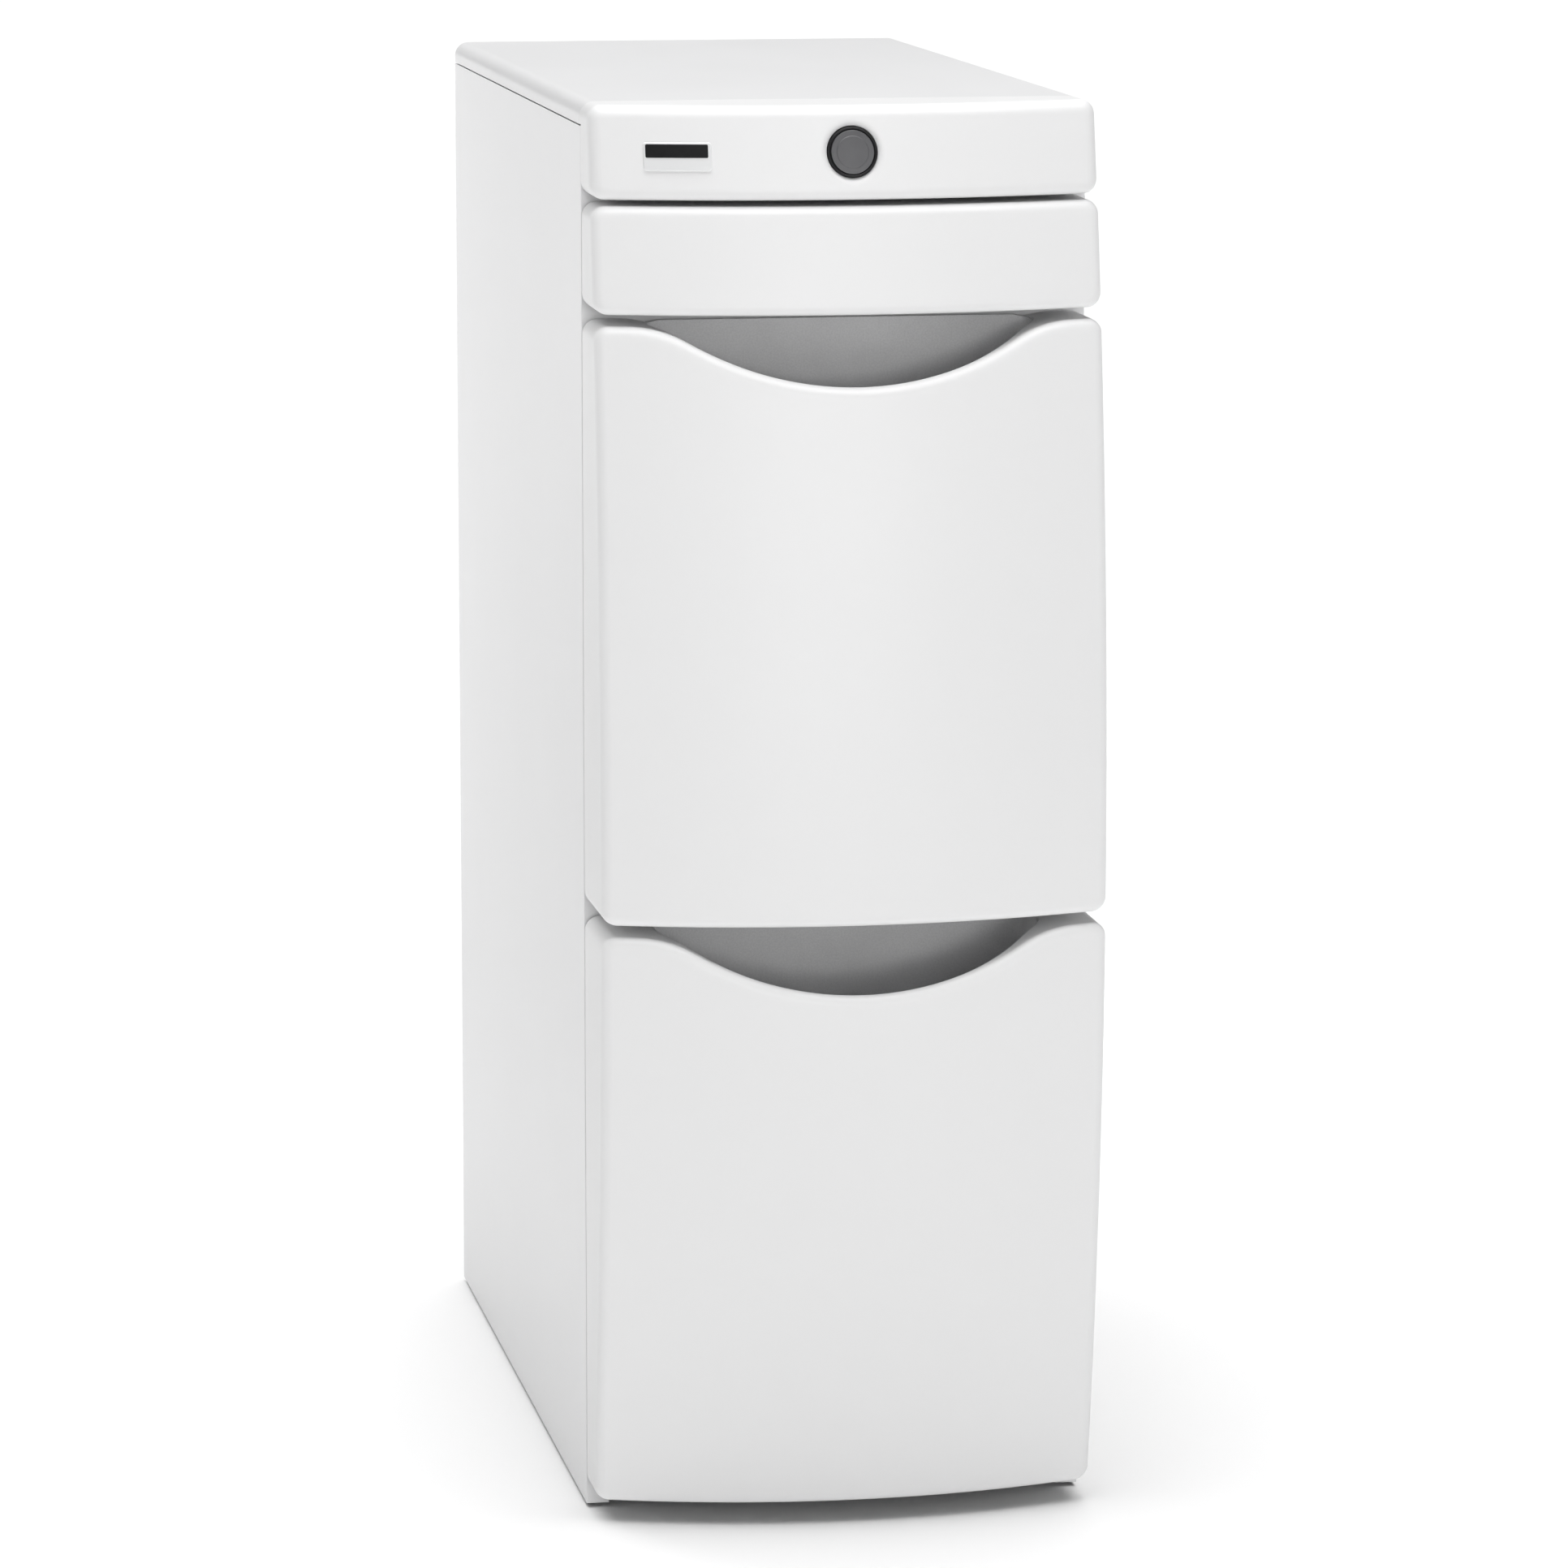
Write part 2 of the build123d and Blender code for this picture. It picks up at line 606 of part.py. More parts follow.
def channel(web_x, lip_x, half, z, front, back):
    """One slide member: an upright web with a lip along its top and bottom."""
    thick = SHEET if lip_x > web_x else -SHEET
    web = block(sorted((web_x, web_x + thick)), (front, back), (z - half, z + half))
    upper = block(sorted((web_x, lip_x)), (front, back), (z + half - SHEET, z + half))
    lower = block(sorted((web_x, lip_x)), (front, back), (z - half, z - half + SHEET))
    return web + upper + lower


def screw_ys():
    """Where the slide screws meet the front posts and the slide uprights."""
    return FRONT_Y + POST_DEPTH / 2, UPRIGHT_FRONT + POST_DEPTH / 2


def slide_outer(number):
    z = SLIDE_HEIGHTS[number]
    back = SLIDE_FRONT_Y + SLIDE_LENGTH
    member = channel(CLEAR_HALF, CLEAR_HALF - OUTER_LIP, OUTER_HALF, z, SLIDE_FRONT_Y, back)
    for y in screw_ys():
        member -= Pos(0, y, z) * Rot(0, 90, 0) * Cylinder(SLIDE_HOLE_R, 4 * WIDTH)
    return both_sides(member)


def slide_middle(number):
    z = SLIDE_HEIGHTS[number]
    back = SLIDE_FRONT_Y + SLIDE_LENGTH - MIDDLE_SHORTER
    web = CLEAR_HALF - MIDDLE_INSET
    member = channel(web, web - MIDDLE_LIP, MIDDLE_HALF, z, SLIDE_FRONT_Y + MIDDLE_LEAD, back)
    return both_sides(member)


def slide_inner(number):
    z = SLIDE_HEIGHTS[number]
    front = SLIDE_FRONT_Y + INNER_LEAD
    member = channel(BOX_HALF, BOX_HALF + INNER_LIP, INNER_HALF, z, front, BOX_BACK)
    return both_sides(member)


def slide_screws():
    """Flat screws through the outer slide members into the uprights."""
    foot = (Align.CENTER, Align.CENTER, Align.MIN)
    head = Pos(0, 0, SHEET) * Cylinder(SLIDE_HEAD_R, SLIDE_HEAD_T, align=foot)
    screw = head + Cylinder(SLIDE_SCREW_R, SHEET, align=foot)
    screws = []
    for z in SLIDE_HEIGHTS.values():
        for y in screw_ys():
            screws += both_sides(Pos(CLEAR_HALF, y, z) * Rot(0, -90, 0) * screw).solids()
    return Compound(screws)


# ---------------------------------------------------------------- nodes
def cabinet_nodes():
    nodes = {
        "top_panel": top_panel(),
        "back_panel": back_panel(),
        "back_panel_screws": back_screws(),
        "base_pan": base_pan(),
        "foot_pads": foot_pads(),
        "foot_studs": foot_studs(),
        "foot_nuts": foot_nuts(),
        "slide_screws": slide_screws(),
        "console": console(),
        "console_bracket": console_bracket(),
        "badge_plate": skin_patch(BADGE_CENTRE, BADGE_SIZE, BADGE_CORNER_R, 0, BADGE_T),
        "badge_field": skin_patch(
            FIELD_CENTRE, FIELD_SIZE, FIELD_CORNER_R, BADGE_T, BADGE_T + FIELD_T
        ),
        "rod_guide": rod_guide(),
        "rod_hanger": rod_hanger(),
    }
    for name, side in (("left", -1), ("right", 1)):
        nodes[f"side_panel_{name}"] = side_panel(side)
        for post_name, front in POST_FRONTS.items():
            nodes[f"{post_name}_{name}"] = post(side, front)
    for index, bottom in enumerate(RAIL_BOTTOMS, start=1):
        nodes[f"front_rail_{index}"] = front_rail(bottom)
    return nodes


def rod_nodes():
    return {
        "rod_tube": rod_tube(),
        "rod_knob": rod_knob(),
        "rod_knob_disc": rod_knob_disc(),
        "rod_collar": rod_collar(),
    }


def drawer_nodes(number):
    name = f"drawer{number}"
    nodes = {
        f"{name}_front": drawer_front(number),
        f"{name}_liner": drawer_liner(number),
        f"{name}_bumpers": drawer_bumpers(number),
        f"{name}_sides": drawer_sides(number),
        f"{name}_tray": drawer_tray(number),
        f"{name}_front_screws": front_screws(number),
        f"{name}_slide_outer": slide_outer(number),
        f"{name}_slide_middle": slide_middle(number),
        f"{name}_slide_inner": slide_inner(number),
    }
    if number in SCOOPED:
        nodes[f"{name}_pocket"] = drawer_pocket(number)
    return nodes


def main():
    nodes = {**cabinet_nodes(), **rod_nodes()}
    for number in DRAWER_FRONTS:
        nodes.update(drawer_nodes(number))
    os.makedirs("parts", exist_ok=True)
    for name, shape in nodes.items():
        export_step(shape, f"parts/{name}.step")


main()
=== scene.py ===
from math import cos, pi, radians, sin, sqrt, tan

import bmesh
import bpy
from mathutils import Matrix, Vector


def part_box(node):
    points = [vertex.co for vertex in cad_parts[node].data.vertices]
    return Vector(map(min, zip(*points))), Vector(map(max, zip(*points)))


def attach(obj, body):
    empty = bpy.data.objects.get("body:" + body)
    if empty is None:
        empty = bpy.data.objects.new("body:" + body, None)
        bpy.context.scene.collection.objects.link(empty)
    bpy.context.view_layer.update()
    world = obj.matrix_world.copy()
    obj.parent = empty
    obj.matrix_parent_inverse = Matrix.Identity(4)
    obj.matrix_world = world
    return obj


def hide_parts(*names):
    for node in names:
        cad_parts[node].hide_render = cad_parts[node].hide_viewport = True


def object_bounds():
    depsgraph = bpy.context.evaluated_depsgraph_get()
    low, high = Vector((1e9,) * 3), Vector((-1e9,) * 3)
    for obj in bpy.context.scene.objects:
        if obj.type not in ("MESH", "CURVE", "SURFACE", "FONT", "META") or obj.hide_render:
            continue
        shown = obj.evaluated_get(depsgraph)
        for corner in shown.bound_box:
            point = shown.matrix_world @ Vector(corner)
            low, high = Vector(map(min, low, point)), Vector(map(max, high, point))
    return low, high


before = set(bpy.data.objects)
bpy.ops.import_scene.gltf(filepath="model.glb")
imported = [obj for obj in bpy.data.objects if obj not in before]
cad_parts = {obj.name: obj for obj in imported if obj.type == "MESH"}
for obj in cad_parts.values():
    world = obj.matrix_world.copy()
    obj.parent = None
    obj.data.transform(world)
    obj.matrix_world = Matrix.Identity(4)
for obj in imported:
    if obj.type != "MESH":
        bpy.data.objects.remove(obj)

# A laundry storage tower, in metres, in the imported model's frame: +Z up, front towards -Y.
CAD_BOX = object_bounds()
MM = 0.001


# ---- places read from the frame
def span(node, axis):
    """Lowest and highest value of a node along x, y or z (0, 1 or 2)."""
    low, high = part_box(node)
    return low[axis], high[axis]


HALF = span("console", 0)[1]
APEX_Y = CAD_BOX[0][1]
BACK_Y = CAD_BOX[1][1]
FRONT_Y = span("front_post_left", 1)[0]
POST_IN = -span("front_post_left", 0)[1]
DRAWERS = (1, 2, 3)
SCOOPED = (2, 3)
SIDES = (-1, 1)

# Sheet metal
SHEET = 1.2 * MM
FOLD_R = 1.2 * MM
SIDE_FOLD_R = 0.6 * MM
TIGHTEST_FOLD_R = 0.15 * MM
TOP_SHEET = 1.5 * MM
TOP_R = 10.0 * MM
HANGER_SHEET = 2.0 * MM
HANGER_FOLD_R = 3.0 * MM
TUBE_CORNER_R = 2.0 * MM
CUT_CLEAR = 5.0 * MM  # how far a cutter runs past the piece it cuts

# The fronts share one doubly curved surface.
CROWN_R_ACROSS = 495.4 * MM
CROWN_R_UPRIGHT = 2224.5 * MM
CROWN_Z = 471.5 * MM
CORNER_R = 10.0 * MM
EDGE_R = 6.5 * MM
CONSOLE_EDGE_R = 8.0 * MM
WALL = 3.0 * MM
GRID = 5.0 * MM  # spacing of the mesh on the crowned faces
EDGE_STEPS = 9
LIP = 0.3 * MM  # rounding where a front's wall ends
ROW_LEAD = 1.0 * MM  # distance of the first mesh row from the edge
SKIRT_LOW_Z = 0.8
SKIRT_GAP = 0.5 * MM

# Scooped finger pulls and their pockets
SCOOP_DEPTH = 40.0 * MM
SCOOP_R = 225.0 * MM
SHOULDER_R = 76.0 * MM
SCOOP_HALF = sqrt((SCOOP_R + SHOULDER_R) ** 2 - (SCOOP_R + SHOULDER_R - SCOOP_DEPTH) ** 2)
POCKET_HALF = 130.0 * MM
POCKET_RIM = 9.0 * MM
POCKET_BELOW = 45.0 * MM
POCKET_WALL = 2.5 * MM
POCKET_FRONT_R = 42.0 * MM  # the front corners are quarter ellipses, this deep
POCKET_FRONT_SPAN = 70.0 * MM  # and this long
POCKET_REAR_R = 8.0 * MM
POCKET_COVE_R = 14.0 * MM
POCKET_BACK_DROP = 1.0 * MM
POCKET_FIT = 0.05 * MM
RIM_INSET = 0.3 * MM
FRONT_STEPS, SIDE_STEPS, CORNER_STEPS, BACK_STEPS = 56, 7, 8, 24
WELL_LEVELS = 10
POCKET_BACK_Y = span("drawer2_liner", 1)[0] - POCKET_WALL

# Hanging rod
ROD_Z = sum(span("rod_tube", 2)) / 2
TUBE_R = 9.5 * MM
TUBE_BORE_R = 8.0 * MM
COLLAR_R = 12.0 * MM
GUIDE_FIT = 0.05 * MM
KNOB_R = 16.8 * MM
KNOB_LIP = 2.2 * MM
KNOB_ROUND = 1.9 * MM
KNOB_FLOOR = 1.6 * MM
KNOB_DEPTH = 9.0 * MM
KNOB_HOLE_R = 17.3 * MM
DISC_R = 14.5 * MM
DISC_STEP_R = 10.5 * MM
DISH_R = 22.5 * MM
DISH_DEPTH = 2.2 * MM
FINE_HALF = 27.0 * MM  # half width of the finer mesh round the pull
CONSOLE_ROWS = 46
ROUND_STEPS = 96

# Feet, screws and slides
FOOT_PLACES = [(side * 135.0 * MM, y * MM) for side in SIDES for y in (-240.0, 365.0)]
STUD_R = 4.0 * MM
STUD_ROOT_R = 3.5 * MM
STUD_PITCH = 1.25 * MM
NUT_APOTHEM = 6.5 * MM
BACK_SCREW_LEVELS = [z * MM for z in (60, 340, 620, 900)]
BACK_SCREW_IN = 7.2 * MM
BACK_SCREW_R = 4.0 * MM
SLIDE_SCREW_IN = 10.0 * MM
SLIDE_SCREW_R = 3.6 * MM
SLIDE_SCREW_HEAD = 1.1 * MM
FRONT_SCREW_R = 4.5 * MM
FRONT_SCREW_HEAD = 2.2 * MM
BUMPER_R = 5.0 * MM
SLIDE_FOLD_R = 2.0 * MM
SLIDE_REACH = {"outer": 9.7 * MM, "middle": 7.6 * MM, "inner": 7.2 * MM}
BALL_R = 0.95 * MM
BALL_PITCH = 7 * MM
BALL_FIRST = 12 * MM
BALL_COUNT = 12
BALL_LINE_IN = 4.6 * MM
CAGE_START = 6 * MM
CAGE_END = 96 * MM
CAGE_HALF = 1.7 * MM
CAGE_HALF_THICK = 0.25 * MM

# Pressed drawer boxes
BOX_CORNER_R = 6.0 * MM
BOX_WALL = 1.5 * MM
BOX_HEM = 4.5 * MM
BOX_ROLL = 4.0 * MM
BOX_FOOT_R = 3.0 * MM
BOX_COVE_R = 4.0 * MM


def face_y(x, z, inset=0.0):
    """The y of the crowned surface, moved back by inset."""
    across = CROWN_R_ACROSS - inset
    upright = CROWN_R_UPRIGHT - inset
    ring = upright - across + sqrt(across**2 - x**2)
    return APEX_Y + inset + upright - sqrt(ring**2 - (z - CROWN_Z) ** 2)


KNOB_Y = face_y(0, ROD_Z)
KNOB_SLOPE = (face_y(0, ROD_Z + MM) - face_y(0, ROD_Z - MM)) / (2 * MM)


# ---- materials
def principled(name, color, roughness, metallic=0.0, specular=0.5, coat=0.0):
    """A plain material with its constants set on the shader's own sockets."""
    material = bpy.data.materials.new(name)
    material.use_nodes = True
    shader = material.node_tree.nodes["Principled BSDF"]
    shader.inputs["Base Color"].default_value = (*color, 1.0)
    shader.inputs["Roughness"].default_value = roughness
    shader.inputs["Metallic"].default_value = metallic
    shader.inputs["Specular IOR Level"].default_value = specular
    shader.inputs["Coat Weight"].default_value = coat
    shader.inputs["Coat Roughness"].default_value = 0.1
    return material


def add_node(material, kind, **settings):
    """A node with its properties and input values set by name."""
    node = material.node_tree.nodes.new(kind)
    for key, value in settings.items():
        if key in node.inputs:
            node.inputs[key].default_value = value
        else:
            setattr(node, key, value)
    return node


def link(material, source, target):
    """Joins two sockets."""
    material.node_tree.links.new(source, target)


def noise_field(material, scale, detail=3.0, stretch=(1.0, 1.0, 1.0)):
    """A noise texture in object space, whose output is about 0 to 1."""
    place = add_node(material, "ShaderNodeTexCoord")
    mapping = add_node(material, "ShaderNodeMapping", Scale=stretch)
    texture = add_node(material, "ShaderNodeTexNoise", Scale=scale, Detail=detail)
    link(material, place.outputs["Object"], mapping.inputs["Vector"])
    link(material, mapping.outputs["Vector"], texture.inputs["Vector"])
    return texture.outputs["Fac"]


def ramp(material, field, low, high, start=0.35, end=0.65):
    """A colour ramp between two colours or two greys."""
    node = add_node(material, "ShaderNodeValToRGB")
    pair = [c if isinstance(c, tuple) else (c, c, c) for c in (low, high)]
    node.color_ramp.elements[0].position = start
    node.color_ramp.elements[1].position = end
    node.color_ramp.elements[0].color = (*pair[0], 1.0)
    node.color_ramp.elements[1].color = (*pair[1], 1.0)
    link(material, field, node.inputs["Fac"])
    return node.outputs["Color"]


def shade(color, factor):
    """A colour made lighter or darker."""
    return tuple(min(1.0, channel * factor) for channel in color)


def surface(
    name,
    color,
    roughness,
    tint=0.015,
    grain=400.0,
    bump=0.08,
    mottling=6.0,
    stretch=(1, 1, 1),
    polish=0.15,
    **shader_settings,
):
    """A material with broad colour variation, roughness variation and a fine bump.

    tint and polish are the shares by which colour and roughness vary. mottling and grain are the
    scales of the variation and of the bump, per metre. stretch scales all three along x, y and z."""
    material = principled(name, color, roughness, **shader_settings)
    shader = material.node_tree.nodes["Principled BSDF"]
    broad = noise_field(material, mottling, 4.0, stretch)
    tone = ramp(material, broad, shade(color, 1 - tint), shade(color, 1 + tint))
    link(material, tone, shader.inputs["Base Color"])
    patches = noise_field(material, mottling * 5, 5.0, stretch)
    rough = ramp(material, patches, roughness * (1 - polish), roughness * (1 + polish))
    link(material, rough, shader.inputs["Roughness"])
    fine = noise_field(material, grain, 2.0, stretch)
    relief = add_node(material, "ShaderNodeBump", Strength=bump, Distance=0.2 * MM)
    link(material, fine, relief.inputs["Height"])
    link(material, relief.outputs["Normal"], shader.inputs["Normal"])
    return material


def speckled(name, color, roughness, speck, grain=1400.0):
    """Moulded plastic with a fine spark-eroded grain and light and dark specks."""
    material = surface(name, color, roughness, tint=0.04, grain=grain, bump=0.35, mottling=12.0)
    shader = material.node_tree.nodes["Principled BSDF"]
    base = shader.inputs["Base Color"].links[0].from_socket
    specks = ramp(material, noise_field(material, grain * 0.6, 1.0), 1 - speck, 1 + speck, 0.3, 0.7)
    mix = add_node(material, "ShaderNodeMix", data_type="RGBA", blend_type="MULTIPLY", Factor=1.0)
    link(material, base, mix.inputs["A"])
    link(material, specks, mix.inputs["B"])
    link(material, mix.outputs["Result"], shader.inputs["Base Color"])
    return material


def galvanised(name, color):
    """Zinc-coated sheet with faint crystal spangle."""
    material = surface(name, color, 0.42, tint=0.05, grain=700.0, bump=0.05, mottling=20.0, metallic=0.85)
    shader = material.node_tree.nodes["Principled BSDF"]
    place = add_node(material, "ShaderNodeTexCoord")
    cells = add_node(material, "ShaderNodeTexVoronoi", Scale=160.0)
    link(material, place.outputs["Object"], cells.inputs["Vector"])
    grey = add_node(material, "ShaderNodeRGBToBW")
    link(material, cells.outputs["Color"], grey.inputs["Color"])
    tone = ramp(material, grey.outputs["Val"], shade(color, 0.965), shade(color, 1.035), 0.2, 0.8)
    link(material, tone, shader.inputs["Base Color"])
    return material


ENAMEL = dict(roughness=0.42, tint=0.004, bump=0.02, mottling=3.0, polish=0.03)
SURFACES = {
    "cabinet_enamel": dict(color=(0.82, 0.82, 0.825), grain=900.0, coat=0.1, **ENAMEL),
    "front_moulding": dict(color=(0.83, 0.83, 0.832), grain=1100.0, **ENAMEL),
    "box_enamel": dict(color=(0.74, 0.745, 0.75), roughness=0.42, tint=0.012, grain=260.0, bump=0.06),
    "slide_steel": dict(
        color=(0.52, 0.53, 0.55), roughness=0.34, tint=0.05, grain=900.0, bump=0.06, mottling=30.0,
        stretch=(12.0, 0.6, 12.0), metallic=1.0
    ),
    "fastener_steel": dict(
        color=(0.55, 0.56, 0.58), roughness=0.36, tint=0.05, grain=2500.0, mottling=90.0, metallic=1.0
    ),
    "rod_chrome": dict(
        color=(0.75, 0.76, 0.78), roughness=0.10, tint=0.01, grain=300.0, bump=0.01, metallic=1.0
    ),
    "knob_black": dict(
        color=(0.010, 0.010, 0.011), roughness=0.45, tint=0.1, grain=1500.0, bump=0.06, mottling=60.0,
        specular=0.25
    ),
    "knob_grey": dict(
        color=(0.105, 0.105, 0.11), roughness=0.42, tint=0.05, grain=2600.0, bump=0.10, mottling=60.0
    ),
    # The badge plate is silver; its near-white colour with little metal is a painted reflection of the white
    # surroundings.
    "badge_metal": dict(
        color=(0.86, 0.865, 0.87), roughness=0.3, tint=0.006, grain=1800.0, bump=0.004, mottling=60.0,
        stretch=(0.4, 1.0, 8.0), polish=0.05, metallic=0.15
    ),
    "badge_field": dict(
        color=(0.014, 0.014, 0.015), roughness=0.35, tint=0.1, grain=900.0, bump=0.03, mottling=60.0,
        specular=0.25
    ),
    "guide_plastic": dict(
        color=(0.66, 0.66, 0.65), roughness=0.5, tint=0.03, grain=1500.0, bump=0.12, mottling=40.0
    ),
    "foot_rubber": dict(
        color=(0.03, 0.03, 0.03), roughness=0.75, tint=0.2, grain=1800.0, bump=0.3, mottling=60.0
    ),
    "bumper_rubber": dict(
        color=(0.42, 0.42, 0.43), roughness=0.6, tint=0.06, grain=1800.0, bump=0.2, mottling=60.0
    ),
}
MATERIALS = {name: surface(name, **settings) for name, settings in SURFACES.items()}
MATERIALS["pocket_plastic"] = speckled("pocket_plastic", (0.70, 0.70, 0.705), 0.62, speck=0.05)
MATERIALS["galvanised_sheet"] = galvanised("galvanised_sheet", (0.55, 0.56, 0.57))


# ---- mesh toolkit
SMOOTH_ANGLE = radians(38)
MERGE = 1e-6


def tidy(mesh):
    """Merges doubles, turns faces outwards and shades smoothly up to the sharp angle."""
    work = bmesh.new()
    work.from_mesh(mesh)
    bmesh.ops.remove_doubles(work, verts=work.verts, dist=MERGE)
    bmesh.ops.recalc_face_normals(work, faces=work.faces)
    work.to_mesh(mesh)
    work.free()
    mesh.shade_smooth()
    mesh.set_sharp_from_angle(angle=SMOOTH_ANGLE)


def new_object(name, data):
    """An object in the scene."""
    made = bpy.data.objects.new(name, data)
    bpy.context.scene.collection.objects.link(made)
    return made


def piece(name, slot, body, parts, replaces=()):
    """One object from a list of (vertices, faces), riding on a body and wearing a slot's material."""
    vertices = []
    faces = []
    for part_vertices, part_faces in parts:
        start = len(vertices)
        vertices += [tuple(v) for v in part_vertices]
        faces += [[start + index for index in face] for face in part_faces]
    mesh = bpy.data.meshes.new(name)
    mesh.from_pydata(vertices, [], faces)
    tidy(mesh)
    mesh.materials.append(MATERIALS[slot])
    made = new_object(name, mesh)
    weigh(made)
    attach(made, body)
    if replaces:
        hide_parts(*replaces)
    return made


def weigh(made):
    """Face-weighted normals, so that rounded edges don't bend the light on flat faces."""
    modifier = made.modifiers.new("weighted", "WEIGHTED_NORMAL")
    modifier.keep_sharp = True


def loft(rings, close_ends=True):
    """A skin over rings of equal length."""
    count = len(rings[0])
    vertices = [point for ring in rings for point in ring]
    faces = []
    for level in range(len(rings) - 1):
        for index in range(count):
            after = (index + 1) % count
            base = level * count
            faces.append([base + index, base + after, base + count + after, base + count + index])
    if close_ends:
        faces.append(list(range(count))[::-1])
        last = (len(rings) - 1) * count
        faces.append(list(range(last, last + count)))
    return vertices, faces


def prism(section, axis, low, high):
    """A closed section carried along an axis; its numbers are the other two axes in order."""

    def place(point, along):
        coordinates = list(point)
        coordinates.insert(axis, along)
        return tuple(coordinates)

    return loft([[place(point, along) for point in section] for along in (low, high)])


def rounded_box(low, high, radius, segments):
    """A box with every edge rounded."""
    work = bmesh.new()
    bmesh.ops.create_cube(work, size=1.0)
    for vertex in work.verts:
        for axis in range(3):
            vertex.co[axis] = low[axis] if vertex.co[axis] < 0 else high[axis]
    bmesh.ops.bevel(
        work,
        geom=work.edges[:],
        offset=radius,
        segments=segments,
        profile=0.5,
        affect="EDGES",
        clamp_overlap=True,
    )
    work.verts.index_update()
    vertices = [tuple(v.co) for v in work.verts]
    faces = [[v.index for v in f.verts] for f in work.faces]
    work.free()
    return vertices, faces


def lathe(profile, centre, axis=1, steps=64, lean=0.0):
    """A profile of (radius, height along the axis) turned about an axis through centre.

    lean shears heights along the axis with z, for parts that follow a sloping face."""
    rings = []
    others = [k for k in range(3) if k != axis]
    for radius, height in profile:
        ring = []
        for step in range(steps):
            angle = 2 * pi * step / steps
            point = list(centre)
            point[others[0]] += radius * cos(angle)
            point[others[1]] += radius * sin(angle)
            point[axis] += height + lean * radius * sin(angle)
            ring.append(tuple(point))
        rings.append(ring)
    return loft(rings)


def rounded_path(points, radii, steps=5):
    """A 2-D polyline with every corner turned into an arc of its own radius."""
    path = [Vector(points[0])]
    for before, corner, after, radius in zip(points, points[1:], points[2:], radii):
        before, corner, after = Vector(before), Vector(corner), Vector(after)
        into = (corner - before).normalized()
        out = (after - corner).normalized()
        turn = into.angle(out)
        trim = radius * tan(turn / 2)
        side = 1 if into.x * out.y - into.y * out.x > 0 else -1
        centre = corner - into * trim + Vector((-into.y, into.x)) * radius * side
        arm = corner - into * trim - centre
        for step in range(steps + 1):
            path.append(centre + Matrix.Rotation(side * turn * step / steps, 2) @ arm)
    path.append(Vector(points[-1]))
    return path


def sheet_section(points, thickness=SHEET, bend=FOLD_R):
    """The closed outline of a folded sheet; points run along its middle, bend is the outer radius."""
    points = [Vector(point) for point in points]
    runs = [(after - before).normalized() for before, after in zip(points, points[1:])]
    sides = []
    for way in (1, -1):
        moved = []
        radii = []
        for index, point in enumerate(points):
            into = runs[max(0, index - 1)]
            out = runs[min(len(runs) - 1, index)]
            across = Vector((-into.y - out.y, into.x + out.x))
            shift = across / (1 + into.dot(out))
            moved.append(point + shift * way * thickness / 2)
            turns_left = into.x * out.y - into.y * out.x > 0
            if 0 < index < len(points) - 1:
                inside = turns_left == (way > 0)
                radii.append(max(TIGHTEST_FOLD_R, bend - thickness) if inside else bend)
        sides.append(rounded_path(moved, radii))
    return [tuple(point) for point in sides[0] + sides[1][::-1]]


def cut(made, cutter):
    """Takes the cutter's volume out of an object and removes the cutter."""
    vertices, faces = cutter
    mesh = bpy.data.meshes.new("cutter")
    mesh.from_pydata([tuple(v) for v in vertices], [], faces)
    tidy(mesh)
    tool = new_object("cutter", mesh)
    made.modifiers.clear()
    modifier = made.modifiers.new("cut", "BOOLEAN")
    modifier.object = tool
    modifier.operation = "DIFFERENCE"
    modifier.solver = "EXACT"
    bpy.context.view_layer.update()
    result = bpy.data.meshes.new_from_object(made.evaluated_get(bpy.context.evaluated_depsgraph_get()))
    made.modifiers.clear()
    result.name = made.name
    made.data = result
    bpy.data.objects.remove(tool)
    result.shade_smooth()
    result.set_sharp_from_angle(angle=SMOOTH_ANGLE)
    weigh(made)


